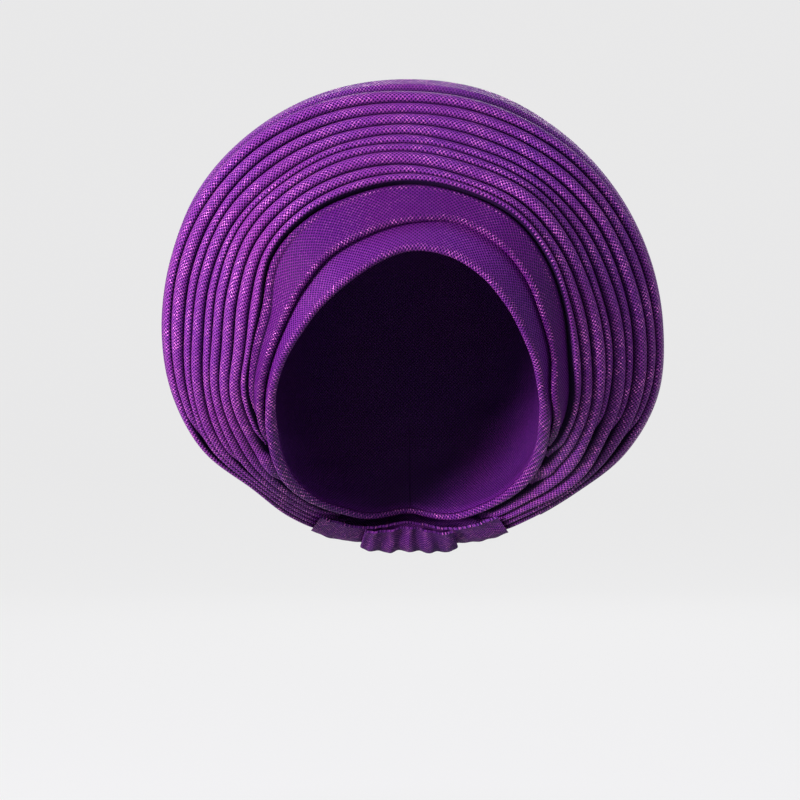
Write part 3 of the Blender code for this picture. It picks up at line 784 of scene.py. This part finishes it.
@dataclass
class HeadWrap(ClothPiece):
    """The first turn of cloth: over the head, round its rolled face edge and back as the face band.

    The angles, in degrees from the top: roll_grows and roll_shrinks say where the rolled edge swells and
    where it thins again, brow_end where the brow band ends, tapers how far before that its two stages of
    narrowing start and end, taper how much each takes off, and nape_turn how far the face band's tip takes
    to tuck in behind that.
    """

    fold_radius: float = 0.0013
    roll_growth: float = 0.0012
    roll_grows: tuple[float, float] = (86.0, 104.0)
    roll_shrinks: tuple[float, float] = (142.0, 124.0)
    brim_overlap: float = 0.0035
    brow_lift: float = 0.00495
    brow_recess: float = 0.003
    nape_hem: float = 0.005
    hem_tuck: float = 1.4
    nape_turn: float = 24.0
    brow_end: float = 109.0
    taper: tuple[float, float] = (0.30, 0.36)
    tapers: tuple[tuple[float, float], ...] = ((19.0, 7.0), (6.0, 0.0))
    least_reach: float = 0.0015
    steepest: float = 0.15
    overlap_share: float = 0.4
    columns: int = 320
    rings: int = 60
    band_steps: int = 14
    wrinkle: float = 0.0006
    wrinkle_length: float = 0.045
    wrinkle_seed: int = 7
    inner_shade: float = 0.50
    shaded_until: float = 0.80

    def roll(self, angles: Array) -> Array:
        """The rolled edge's radius, fuller where the folds of the fan run in beside it at the jaw."""
        away = np.abs(angles)
        swell = ramp(away, *self.roll_grows) * ramp(away, *self.roll_shrinks)
        return column(self.fold_radius + self.roll_growth * swell)

    def edge(self, fan: Fan, angles: Array) -> tuple[Array, Array, Array]:
        """The wall's middle at the face edge, the hollow's normal there, and the way past the edge."""
        depth = fan.edge_depth_at(angles)
        radius = fan.head_radius(angles, depth)
        head = fan.head_at(angles)
        power = fan.head_squareness - 1
        slope_out = (radius / head) ** power / head
        slope_back = np.sign(depth) * (np.abs(depth) / fan.head_half_length) ** power / fan.head_half_length
        normal = unit(np.stack([slope_out, slope_back], axis=-1))
        middle = np.stack([radius, depth], axis=-1) + normal * fan.wrap_cloth / 2
        return middle, normal, np.stack([normal[:, 1], -normal[:, 0]], axis=-1)

    def crease(self, fan: Fan, angles: Array) -> Array:
        """Where the brow band turns in behind the first pleat."""
        across, along = fan.page_axes(angles)
        groove = fan.groove("pleat_1", angles)
        return groove - (fan.pleat_cloth / 2 + fan.gap) * across + self.brow_recess * along

    def brim(self, fan: Fan, angles: Array) -> tuple[Array, Array, Array, Array]:
        """The face band: where it leaves the edge, its lie, its front, and how far the brow band starts."""
        middle, normal, _ = self.edge(fan, angles)
        start = middle + 2 * self.roll(angles) * normal
        away = self.crease(fan, angles) - start
        length = np.linalg.norm(away, axis=-1)
        bearing = np.arctan2(away[:, 1], away[:, 0]) + np.arcsin(np.clip(self.brow_lift / length, -1, 1))
        lie = np.stack([np.cos(bearing), np.sin(bearing)], axis=-1)
        front = np.stack([lie[:, 1], -lie[:, 0]], axis=-1)
        outward = np.maximum(lie[:, 0], self.steepest)
        room = fan.groove("brow", angles)[:, 0] - start[:, 0]
        reach = np.maximum(room / outward, self.least_reach)
        left = self.brow_end - np.abs(angles)
        taper = sum(share * ramp(left, *span) for share, span in zip(self.taper, self.tapers))
        return start, lie, front, reach + taper * (length - reach)

    def wall(self, fan: Fan) -> Wall:
        """The hollow's squared ellipse from a pole at the back, the rolled edge, and the band to its tip."""
        angles = np.linspace(-180.0, 180.0, self.columns, endpoint=False)
        middle, normal, past = self.edge(fan, angles)
        start, lie, front, reach = self.brim(fan, angles)
        grow = fan.wrap_cloth / 2
        full = fan.head_half_length + grow
        first = np.arcsin(np.clip(middle[:, 1] / full, -1, 1))
        path = []
        for step in np.linspace(1.0, 0.0, self.rings)[:-1]:
            depth = full * np.sin(first + step * (np.pi / 2 - first))
            radius = fan.head_radius(angles, depth, grow) if step < 1 else np.full_like(depth, POLE_RADIUS)
            path.append(np.stack([radius, depth], axis=-1))
        inside = len(path)
        roll = self.roll(angles)
        path += fold_arc(middle + roll * normal, roll, -normal, past)
        crease_reach = ((self.crease(fan, angles) - start) * lie).sum(-1)
        overlap = np.minimum(self.brim_overlap, self.overlap_share * (crease_reach - reach))
        fan_tip = start + column(reach + overlap) * lie
        tucked = self.fold_radius - self.hem_tuck * (roll - self.fold_radius)
        nape_tip = start - self.nape_hem * past + tucked * normal
        share = column(ramp(np.abs(angles), self.brow_end, self.brow_end + self.nape_turn))
        tip = (1 - share) * fan_tip + share * nape_tip
        rolled = len(path)
        path += leg(path[-1], tip, self.band_steps)[1:] + [tip]
        sections = np.stack(path, axis=1)
        count = np.arange(sections.shape[1])
        crest = ((count >= inside) & (count < rolled)).astype(float)
        # Painted shade: the hollow's inside is darkened to inner_shade and brightens again over its last
        # stretch before the rolled edge.
        unshaded = np.maximum(self.inner_shade, ramp(count / inside, self.shaded_until, 1.0))
        wall = wall_of_sections(fan, sections, angles, fan.wrap_cloth, crest, unshaded, closed=True)
        wall.normals[:, 0] = (0.0, 1.0, 0.0)
        turn = np.radians(angles)[:, None]
        length = arc_length(wall.middle, 1)
        flat = np.stack([length * np.sin(turn), length * np.cos(turn)], axis=-1)
        wall.uv[:, :inside] = flat[:, :inside]
        creases = Waver(self.wrinkle_seed).over(flat[..., 0], flat[..., 1], self.wrinkle_length)
        pressed = self.wrinkle * creases * ramp(count / inside, 1.0, 0.75)
        wall.middle += wall.normals * pressed[..., None]
        return wall


@dataclass
class BrowBand(ClothPiece):
    """The second fold: a rolled edge over the face band, a flat front with a ridge, and a crease."""

    wrap: HeadWrap = None
    fold_radius: float = 0.0015
    leg_length: float = 0.009
    page: float = 0.010
    corner: float = 0.0006
    ridge_line: float = 0.0007
    ridge_shade: float = 0.0009
    tall_ridge: float = 0.001
    columns: int = 260
    steps: int = 44
    leg_steps: int = 5
    leg_unshaded: float = 0.2
    page_unshaded: float = 0.1
    widest: float = 0.45
    rise_power: float = 0.6
    rope_skew: float = 0.75
    rope_power: float = 0.7
    rope_shade: float = 0.75

    def ridge(self, title: str, angles: Array) -> Array:
        """One column of RIDGES at each angle, with straight lines between its rows."""
        rows = np.array(RIDGES)
        return np.interp(angles, rows[:, 0], rows[:, RIDGE_COLUMNS.index(title)])

    def front_height(self, share: float, width: Array, angles: Array) -> tuple[Array, Array, Array]:
        """How far the front stands out, at a share of its width, and how it catches the light there.

        Args:
            share: The place, from 0 at the rolled edge to 1 at the crease.
            width: The front's width at each angle.
            angles: Angles in degrees.

        Returns:
            A flat front that rises to the ridge and falls off behind it in a full quarter wave, mixed with
            one that stays low and then swells into a small rope, fuller beside the crease. Then how much the
            place is a folded edge, along the ridge and over the rope, where it gets stronger glints as a
            painted highlight, and how far it lies out of the shade, as painted shade that darkens the cloth
            towards the crease and beside the small rope.
        """
        distance = np.minimum(self.ridge("distance", angles), self.widest * width)
        height, rope = self.ridge("height", angles), self.ridge("rope", angles)
        left = (1 - share) * width / distance
        behind = np.clip(left, 0.0, 1.0)
        rise = np.sin(behind * np.pi / 2) ** self.rise_power
        flat = np.where(left < 1, rise, (1 - (left - 1) * distance / (width - distance)))
        swollen = np.sin(behind**self.rope_skew * np.pi) ** self.rope_power
        stands = height * ((1 - rope) * flat + rope * swollen)
        past = (left - 1) * distance
        # Painted highlight: a thin line along the ridge counts as a folded edge and so gets its stronger
        # glints.
        line = np.exp(-((past / self.ridge_line) ** 2)) * np.clip(height / self.tall_ridge, 0, 1)
        crest = np.maximum(np.where(left < 1, rope, 0.0), line)
        # Painted shade: darker just beside the small rope and towards the crease.
        beside = 1 - self.rope_shade * rope * np.exp(-((past / self.ridge_shade) ** 2))
        behind_it = (1 - rope) * eased(0.45 + 0.55 * left) + rope * eased(1.6 * np.sin(behind * np.pi))
        return stands, crest, np.where(left < 1, behind_it, beside)

    def wall(self, fan: Fan) -> Wall:
        """Hidden leg, rolled edge, front with its ridge, rounded crease, and page."""
        angles = fan.turns("brow", self.columns)
        start, lie, front, reach = self.wrap.brim(fan, angles)
        centre = start + column(reach) * lie + (self.wrap.brow_lift - self.fold_radius) * front
        _, along = fan.page_axes(angles)
        crease = self.wrap.crease(fan, angles)
        width = np.linalg.norm(crease - centre, axis=-1)
        arc = fold_arc(centre, self.fold_radius, -front, -lie)
        inner = arc[0] + column(np.minimum(self.leg_length, 0.6 * width)) * lie
        page = column(np.minimum(self.page, width))
        path = leg(inner, arc[0], self.leg_steps) + arc
        folded_edge = [np.ones_like(angles)] * len(arc)
        crest = [np.zeros_like(angles)] * self.leg_steps + folded_edge
        # Painted shade: the hidden leg is darkened.
        unshaded = [np.full_like(angles, self.leg_unshaded)] * self.leg_steps + folded_edge
        corner = soft_corner(arc[-1], crease, crease + page * along, self.corner)
        for share in np.linspace(0, 1, self.steps)[1:-1]:
            stands, folded, out = self.front_height(share, width, angles)
            path.append(arc[-1] + share * (corner[0] - arc[-1]) + column(stands) * front)
            crest.append(folded)
            unshaded.append(out)
        tip = crease + page * along
        rest = corner + leg(corner[-1], tip, self.leg_steps)[1:] + [tip]
        path += rest
        crest += [np.zeros_like(angles)] * len(rest)
        # Painted shade: the crease's corner and the page behind it are darkened.
        unshaded += [np.full_like(angles, self.page_unshaded)] * len(rest)
        marks = [np.stack(values, axis=1) for values in (crest, unshaded)]
        return wall_of_sections(fan, np.stack(path, axis=1), angles, fan.pleat_cloth, *marks)


@dataclass
class Pleat(ClothPiece):
    """One rope-like fold of the fan: a rounded edge to the front and two legs that run back as a page.

    The page is shorter where the folds are bundled. At its ends, over tail_angle degrees, the fold sinks by
    tail_sink. Outside the two angles of leans_past it leans towards the face by lean, which comes and goes
    over the degrees in lean_in and lean_out.
    """

    next_fold: str = ""
    page: float = 0.018
    page_per_width: float = 3.6
    page_bundled: float = 0.0095
    cloth_share: float = 0.36
    roundness: float = 1.2
    tail_angle: float = 7.0
    tail_sink: float = 0.0022
    lean: float = 0.0034
    lean_in: tuple[float, float] = (0.0, 5.0)
    lean_out: tuple[float, float] = (21.0, 8.0)
    leans_past: tuple[float, float] = (-180.0, 180.0)
    bundled: tuple[float, float] = (90.0, 135.0)
    shortest: float = 0.002
    swelling: float = 0.14
    flattening: float = 0.7
    columns: int = 300
    arc_steps: int = 25
    leg_steps: int = 5
    seed: int = 0

    def clear_length(self, fan: Fan, foot: Array, along: Array, longest: Array, angles: Array) -> Array:
        """How far each page can run before it comes near the head wrap, up to the longest."""
        lengths = np.linspace(0.0, 1.0, 24)[:, None] * longest
        near = fan.wrap_cloth + fan.pleat_cloth / 2 + 4 * fan.gap
        radius, depth = foot[:, 0] + lengths * along[:, 0], foot[:, 1] + lengths * along[:, 1]
        clear = radius > fan.head_radius(angles, depth, near)
        return np.maximum((lengths * np.cumprod(clear, axis=0)).max(axis=0), self.shortest)

    def wall(self, fan: Fan) -> Wall:
        """A half ellipse from the groove below to the groove above, its depth wavering, between two legs.

        Returns:
            The wall. Where the fold below has ended, the near side leans in towards the face to close the
            room it leaves, and at its own ends the fold flattens and sinks behind its neighbours.
        """
        angles = fan.turns(self.node, self.columns)
        low, high = fan.groove(self.node, angles), fan.groove(self.next_fold, angles)
        across, along = fan.page_axes(angles)
        past = np.maximum(self.leans_past[0] - angles, angles - self.leans_past[1])
        low = low - column(self.lean * ramp(past, *self.lean_in) * ramp(past, *self.lean_out)) * across
        low_across, high_across = (low * across).sum(-1), (high * across).sum(-1)
        low_along, high_along = (low * along).sum(-1), (high * along).sum(-1)
        room = high_across - low_across - fan.gap
        high_along = low_along + np.clip(high_along - low_along, -fan.slant * room, fan.slant * room)
        sunk = ramp(np.minimum(angles - angles[0], angles[-1] - angles), self.tail_angle, 0.0)
        cloth = np.minimum(fan.pleat_cloth, self.cloth_share * room)
        middle, half = (low_across + high_across) / 2, (room - cloth) / 2
        longest = self.page + (self.page_bundled - self.page) * ramp(np.abs(angles), *self.bundled)
        base = np.maximum(low_along, high_along)
        foot = column(low_across) * across + column(base) * along
        longest = np.minimum(longest, self.page_per_width * room)
        tail = base + self.clear_length(fan, foot, along, longest, angles)
        uneven = 1 + self.swelling * Waver(PLEAT_SEED + self.seed, 3, 14).along(angles)
        swell = self.roundness * uneven * (1 - self.flattening * sunk)
        low_along, high_along = (
            np.minimum(side + self.tail_sink * sunk, tail - self.shortest / 2)
            for side in (low_along, high_along)
        )

        def point(side: float | Array, back: Array) -> Array:
            """A point of the section, from its place across the fold and along the page."""
            return column(middle + side * half) * across + column(back) * along

        turns = np.linspace(0, np.pi, self.arc_steps)
        arc = []
        for turn in turns:
            share = (1 - np.cos(turn)) / 2
            back = (1 - share) * low_along + share * high_along - swell * half * np.sin(turn)
            arc.append(point(-np.cos(turn), back))
        near, far = point(-1, tail), point(1, tail)
        path = leg(near, arc[0], self.leg_steps) + arc + leg(arc[-1], far, self.leg_steps)[1:] + [far]
        # Painted shade: the legs stay fully dark, the rounded edge darkens towards the grooves on both sides,
        # and the sunk ends are darker by up to half.
        crest, unshaded = np.zeros(len(path)), np.zeros(len(path))
        rounded = slice(self.leg_steps, self.leg_steps + turns.size)
        crest[rounded] = 1.0
        unshaded[rounded] = ramp(np.sin(turns), 0.05, 0.85)
        unshaded = unshaded * (1 - 0.5 * sunk[:, None])
        return wall_of_sections(fan, np.stack(path, axis=1), angles, cloth, crest, unshaded)


@dataclass
class NapeWrap(ClothPiece):
    """The band that holds the gathered ends behind the neck, open towards the head.

    It spans half_angle degrees each way from the nape, and past pinch_from, a share of that, its section is
    drawn in by pinch. crush is the height of the creases in it.
    """

    half_angle: float = 36.0
    columns: int = 160
    smoothings: int = 3
    # Painted shade: the whole band is darkened evenly to this share.
    unshaded: float = 0.6
    clearance: float = 0.0048
    depth: float = 0.0145
    crush: float = 0.0004
    crush_length: float = 0.022
    crush_seed: int = 11
    pinch: float = 0.10
    pinch_from: float = 0.72

    def span(self) -> tuple[Array, Array]:
        """The band's angles round the nape, and each one's share of the way from its middle to its end."""
        angles = np.linspace(180.0 - self.half_angle, 180.0 + self.half_angle, self.columns)
        return angles, (angles - 180.0) / self.half_angle

    def path(self, fan: Fan, angles: Array, lift: Array | float = 0.0) -> Array:
        """The band's path round the gathered ends, lifted off them by a further amount."""
        across, along = fan.page_axes(angles)
        names = ("pleat_2", "pleat_5", "pleat_8", "drape")
        low, inner, outer, high = (fan.groove(name, angles) for name in names)
        room, trim = self.clearance, BEVEL * np.asarray(lift)

        def point(base: Array, side: Array | float, back: Array | float) -> Array:
            """A point beside one of the grooves."""
            return base + column(side) * across + column(back) * along

        return np.stack([
            point(low, 0.5 * room, -room - lift),
            point(inner, 0.0, -room - lift),
            point(outer, 0.0, -room - lift),
            point(high, trim, -room - lift),
            point(high, lift + 0.5 * room, -trim - 0.5 * room),
            point(high, lift + 0.5 * room, trim + self.depth - 0.5 * room),
            point(high, trim - 0.25 * room, lift + self.depth),
            point(low, 0.5 * room, lift + self.depth),
        ], axis=1)

    def pinched(self, sections: Array, share: Array) -> Array:
        """Sections drawn in towards their middles at both ends of the band."""
        middle = sections.mean(axis=1, keepdims=True)
        drawn = 1 - self.pinch * ramp(np.abs(share), self.pinch_from, 1.0)
        return middle + (sections - middle) * drawn[:, None, None]

    def crumpled(self, wall: Wall) -> Wall:
        """The wall with shallow crossways creases pressed into it."""
        u, v = wall.uv[..., 0], wall.uv[..., 1]
        creases = Waver(self.crush_seed).over(u * 1.6, v * 0.7, self.crush_length)
        wall.middle = wall.middle + wall.normals * (self.crush * creases)[..., None]
        return wall

    def wall(self, fan: Fan) -> Wall:
        """The path with its corners softened, turned round the nape."""
        angles, share = self.span()
        sections = self.pinched(smoothed(self.path(fan, wrapped(angles)), self.smoothings), share)
        crest, unshaded = np.ones(sections.shape[1]), np.full(sections.shape[1], self.unshaded)
        return self.crumpled(wall_of_sections(fan, sections, angles, fan.wrap_cloth, crest, unshaded))


@dataclass
class NapeKnot(NapeWrap):
    """The plain tie round the nape wrap: a swollen band with crossways gathers."""

    half_angle: float = 18.0
    columns: int = 120
    crush_seed: int = 12
    swell: float = 0.0045
    gather: float = 0.0008
    waves: int = 5

    def wall(self, fan: Fan) -> Wall:
        """The nape wrap's path lifted by the cloth and by a half ellipse along the band."""
        angles, share = self.span()
        lift = fan.wrap_cloth + 3 * fan.gap + self.swell * np.sqrt(np.clip(1 - share**2, 0, 1))
        gathers = np.cos(share * self.waves * np.pi)
        lift = lift + self.gather * gathers * (1 - share**2)
        sections = smoothed(self.path(fan, wrapped(angles), lift), self.smoothings)
        # Painted shade: the knot is darkened, most in the hollows between its gathers.
        crest, unshaded = np.ones((1, 1)), 0.40 + 0.40 * np.clip(gathers, 0, 1)[:, None]
        return self.crumpled(wall_of_sections(fan, sections, angles, fan.wrap_cloth, crest, unshaded))


@dataclass
class BackDrape(ClothPiece):
    """The cloth that rolls over the rim, covers the back and is gathered at the nape.

    tuck is how far its edge runs back beside the last pleat. fullness and swell shape the curve down the
    back, and seat_top and seat_half say where on the nape wrap it ends. The gathers are wide waves. The
    creases are fine ones, which start creases_from down the curve, give or take start_wander, and grow over
    crease_growth of it.
    """

    nape: NapeWrap = None
    columns: int = 430
    rows: int = 92
    tuck: float = 0.008
    crest_depth: tuple[float, float] = (0.012, 0.006)
    fullness: float = 0.42
    swell: float = 0.55
    seat_top: float = -0.17
    seat_half: float = 38.0
    gathers: int = 9
    gather_depth: float = 0.0035
    creases: int = 31
    crease_depth: float = 0.0016
    creases_from: float = 0.42
    start_wander: float = 0.16
    crease_growth: float = 0.5
    softness: float = 0.0009
    soft_length: float = 0.09
    spacing_waver: float = 1.1
    depth_waver: float = 0.35
    overtone: float = 0.35
    crease_waver: float = 1.6
    seam_steps: tuple[int, int] = (4, 6)
    rim_squeeze: float = 0.55

    def normals(self, grid: Array, fan: Fan) -> Array:
        """Unit normals of a grid of points, turned away from the middle of the head."""
        made = unit(np.cross(np.gradient(grid, axis=0), np.gradient(grid, axis=1)))
        outward = grid - np.array([0.0, 0.0, -fan.crown_height])
        return made * np.sign((made * outward).sum(-1, keepdims=True))

    def wall(self, fan: Fan) -> Wall:
        """A tucked edge, the rim, then one cubic curve a column from the rim to the nape, with gathers.

        Returns:
            The wall. Each gather is a wave across the columns that grows from nothing at the rim, is
            strongest above the nape and dies out at the seat. Its spacing and depth waver.
        """
        columns = fan.turns("drape", self.columns)
        half_turn = columns[-1]
        across, along = fan.page_axes(columns)
        rim = fan.rim_at(columns)
        groove = fan.groove("drape", columns)
        entry = groove + (2 * fan.gap + fan.wrap_cloth / 2) * across
        tuck = entry + self.tuck * along
        few, many = self.seam_steps
        front = leg(tuck, (tuck + entry) / 2, few) + leg((tuck + entry) / 2, (entry + rim) / 2, many)
        front += leg((entry + rim) / 2, rim, many) + [rim]
        front_grid = fan.in_space(np.stack(front, axis=1), columns)
        seat_angles = wrapped(180.0 - columns * self.seat_half / half_turn)
        back_wall = self.nape.path(fan, seat_angles)
        seat_share = self.seat_top + (1 - self.seat_top) * ramp(np.abs(columns) / half_turn, 0.5, 1.0)
        _, seat_along = fan.page_axes(seat_angles)
        seat = back_wall[:, -1] + column(seat_share) * (back_wall[:, -2] - back_wall[:, -1])
        seat = seat + (fan.wrap_cloth + 2 * fan.gap) * seat_along
        low = fan.in_space(seat[:, None], seat_angles)[:, 0]
        top = front_grid[:, -1]
        reach = np.linalg.norm(top - low, axis=-1, keepdims=True)
        back = np.array([0.0, 1.0, 0.0])
        leave = top + self.fullness * reach * back
        arrive = low + self.fullness * reach * unit(unit((top - low) * (1.0, 0.0, 1.0)) + self.swell * back)
        t = np.linspace(0, 1, self.rows + 1)[1:][None, :, None]
        weights = ((1 - t) ** 3, 3 * (1 - t) ** 2 * t, 3 * (1 - t) * t**2, t**3)
        sweep = sum(weight * end[:, None] for weight, end in zip(weights, (top, leave, arrive, low)))
        grid = np.concatenate([front_grid, sweep], axis=1)
        down = np.concatenate([np.zeros(len(front)), t[0, :, 0]])[None, :]
        uneven = self.spacing_waver * Waver(3, 1, 5).along(columns)
        phase = np.pi * self.gathers * columns / half_turn + uneven
        wave = np.cos(phase) + self.overtone * np.cos(2 * phase + 1.0 + 2 * uneven)
        wave = wave * (1 + self.depth_waver * Waver(4, 2, 9).along(columns))
        ripple = self.gather_depth * 0.9 * wave[:, None] * down * (1 - down**6)
        bends = self.crease_waver * Waver(6, 2, 9).along(columns)
        folds = np.abs(np.sin(np.pi * self.creases / 2 * columns / half_turn + bends))
        weight = 0.6 + 0.4 * Waver(8, 3, 17).along(columns)
        begin = self.creases_from + self.start_wander * column(Waver(9, 4, 15).along(columns))
        reach_up = ramp(down, begin, begin + self.crease_growth)
        creased = self.crease_depth * column(weight * (folds**0.6 - 0.6)) * reach_up
        ripple = ripple + creased * (1 - down**6)
        length = arc_length(grid, 1)
        round_it = np.radians(columns)[:, None] * fan.rim_height * np.ones_like(length)
        soft = self.softness * Waver(5).over(round_it, length, self.soft_length)
        soft = soft * ramp(down, 0.0, 1 / 6) * (1 - down**4)
        normals = self.normals(grid, fan)
        grid = grid + normals * (ripple + soft)[..., None]
        rim_length = length[:, len(front) - 1:len(front)]
        # The crest mark gives the rolled rim the folded edges' coarser net and their stronger glints, a painted
        # highlight.
        crest = ramp(length - rim_length, *self.crest_depth)
        # Painted shade: the tucked edge beside the last pleat is dark, and the fine creases are darker in their
        # hollows.
        unshaded = ramp(length, 0.5 * self.tuck, 1.5 * self.tuck)
        unshaded = unshaded * (1 - 0.75 * reach_up * (1 - folds[:, None]) ** 2)
        shown = length - self.rim_squeeze * np.minimum(length, rim_length)
        uv = np.stack([round_it, shown], axis=-1)
        return Wall(grid, self.normals(grid, fan), fan.wrap_cloth, uv, crest, unshaded)


@dataclass(frozen=True)
class Lamp:
    """A square area light: its place, the length of a side in metres, its power in watts and its colour."""

    name: str
    place: tuple[float, float, float]
    size: float
    power: float
    colour: tuple[float, float, float] = (1.0, 1.0, 1.0)


LAMPS = (
    Lamp("key", (-1.50, -1.15, 0.12), 0.5, 50.0, (1.0, 0.93, 0.95)),
    Lamp("fill", (1.75, -0.80, 0.12), 0.8, 5.0, (0.92, 0.90, 1.0)),
    Lamp("top", (0.0, -0.4, 1.6), 0.8, 11.0, (0.70, 0.72, 1.0)),
    Lamp("back", (0.2, 2.1, 0.9), 0.9, 9.0),
)


@dataclass
class Studio:
    """A pale seamless bowl, soft lights, and the camera at the photograph's place."""

    aim: tuple[float, float, float] = (0.0, 0.0, -0.08)
    sky_strength: float = 0.12
    floor_colour: Colour = (0.14, 0.14, 0.145, 1.0)
    floor_glow: float = 0.76
    floor_height: float = -0.36
    floor_radius: float = 2.2
    sweep_radius: float = 1.0
    wall_height: float = 3.6
    segments: int = 96
    camera_place: tuple[float, float, float] = (-0.0052, -1.688, -0.1106)
    focal_pixels: float = 3077.0
    frame_pixels: float = 800.0

    def floor(self) -> bpy.types.Object:
        """The floor: a disc that sweeps up in a quarter circle into an upright wall all round."""
        turns = np.linspace(0, np.pi / 2, 17)
        reach = np.concatenate([[0.02], self.floor_radius + self.sweep_radius * np.sin(turns),
                                [self.floor_radius + self.sweep_radius]])
        rise = np.concatenate([[0.0], self.sweep_radius * (1 - np.cos(turns)), [self.wall_height]])
        around = np.linspace(0, 2 * np.pi, self.segments, endpoint=False)[:, None]
        points = np.stack([reach * np.cos(around), reach * np.sin(around),
                           np.broadcast_to(rise + self.floor_height, (self.segments, reach.size))], axis=-1)
        here, ring = np.arange(self.segments)[:, None], np.arange(reach.size - 1)[None, :]
        after = (here + 1) % self.segments
        corners = [(here, ring), (here, ring + 1), (after, ring + 1), (after, ring)]
        faces = np.stack([h * reach.size + r for h, r in corners], axis=-1).reshape(-1, 4).tolist()
        faces.append((np.arange(self.segments) * reach.size).tolist())
        data = bpy.data.meshes.new("studio_floor")
        data.from_pydata(points.reshape(-1, 3).tolist(), [], faces)
        data.shade_smooth()
        paint = bpy.data.materials.new("studio_floor")
        paint.use_nodes = True
        shader = paint.node_tree.nodes["Principled BSDF"]
        shader.inputs["Base Color"].default_value = self.floor_colour
        shader.inputs["Roughness"].default_value = 0.9
        shader.inputs["Specular IOR Level"].default_value = 0.1
        shader.inputs["Emission Color"].default_value = (1.0, 1.0, 1.0, 1.0)
        shader.inputs["Emission Strength"].default_value = self.floor_glow
        data.materials.append(paint)
        floor = bpy.data.objects.new("studio_floor", data)
        floor.visible_diffuse = False
        bpy.context.scene.collection.objects.link(floor)
        return floor

    def light(self, made: Lamp) -> None:
        """One lamp, aimed at the middle of the head tie."""
        data = bpy.data.lights.new(made.name, "AREA")
        data.size, data.energy, data.color = made.size, made.power, made.colour
        lamp = bpy.data.objects.new(made.name, data)
        lamp.visible_camera = False
        lamp.location = made.place
        aim = np.array(self.aim) - np.array(made.place)
        level = math.hypot(aim[0], aim[1])
        lamp.rotation_euler = (math.atan2(level, -aim[2]), 0.0, math.atan2(aim[0], -aim[1]) + math.pi)
        bpy.context.scene.collection.objects.link(lamp)

    def lights(self) -> None:
        """A soft key from the left front, a weaker fill, a top and a back light, and a pale world."""
        for lamp in LAMPS:
            self.light(lamp)
        world = bpy.data.worlds.new("studio")
        world.use_nodes = True
        sky = world.node_tree.nodes["Background"]
        sky.inputs["Color"].default_value = (1.0, 1.0, 1.0, 1.0)
        sky.inputs["Strength"].default_value = self.sky_strength
        bpy.context.scene.world = world
        bpy.context.scene.view_settings.view_transform = "Standard"

    def camera(self) -> None:
        """The camera: level at eye height, straight in front, with the photograph's narrow view."""
        data = bpy.data.cameras.new("camera")
        data.sensor_width = 36.0
        data.lens = 36.0 * self.focal_pixels / self.frame_pixels
        data.clip_end = 50.0
        camera = bpy.data.objects.new("camera", data)
        camera.location = self.camera_place
        camera.rotation_euler = (math.pi / 2, 0.0, 0.0)
        bpy.context.scene.collection.objects.link(camera)
        bpy.context.scene.camera = camera


def head_tie() -> list[ClothPiece]:
    """The head tie's pieces, from the face outwards.

    Returns:
        The pieces, each with its finish and what it rests on.
    """
    face = WovenCloth("face_weave", Slot.VIOLET, ground=(0.190, 0.012, 0.300, 1.0),
                      cool=(0.125, 0.012, 0.330, 1.0), flat_contrast=1.0, flat_pitch=0.0020, strand=0.25)
    # The brow band's cloth is the ropes' purple made darker, as painted shade of the pleats that stand over it.
    brow = WovenCloth("brow_weave_shaded", Slot.PURPLE, ground=(0.150, 0.003, 0.225, 1.0),
                      cool=(0.095, 0.003, 0.240, 1.0), flat_contrast=1.0, flat_pitch=0.0020, strand=0.25)
    rope = WovenCloth("rope_weave", Slot.PURPLE)
    back = WovenCloth("back_weave", Slot.PURPLE)
    bound = WovenCloth("bound_weave", Slot.VIOLET, coolness=0.40)
    wrap = HeadWrap("head_wrap_cloth", "head_wrap", face, Held.STRETCHED, ())
    nape = NapeWrap("nape_wrap_cloth", "nape_wrap", bound, Held.FOLDED, ("pleat_9_rope",))
    pieces: list[ClothPiece] = [
        wrap,
        BrowBand("brow_band_cloth", "brow_band", brow, Held.FOLDED, ("head_wrap_cloth",), wrap=wrap),
    ]
    leans = {"pleat_1": (-180.0, 110.5), "pleat_2": (-110.0, 115.0)}
    for number, node in enumerate(FOLD_NAMES[1:-1], start=1):
        below = "brow_band_cloth" if number == 1 else f"pleat_{number - 1}_rope"
        pieces.append(Pleat(f"{node}_rope", node, rope, Held.FOLDED, (below,), seed=number,
                            next_fold=FOLD_NAMES[number + 1], leans_past=leans.get(node, (-180.0, 180.0))))
    pieces += [
        BackDrape("back_drape_cloth", "back_drape", back, Held.GATHERED, ("pleat_9_rope", "nape_wrap_cloth"),
                  nape=nape),
        nape,
        NapeKnot("nape_knot_cloth", "nape_knot", bound, Held.GATHERED, ("nape_wrap_cloth",)),
    ]
    return pieces


def main() -> None:
    """Builds the studio and the head tie."""
    logging.basicConfig(level=logging.INFO, format="%(message)s")
    studio = Studio()
    studio.floor()
    studio.lights()
    studio.camera()
    fan = Fan()
    materials: dict[str, bpy.types.Material] = {}
    for piece in head_tie():
        piece.dress(fan, materials)


if __name__ == "__main__":
    main()
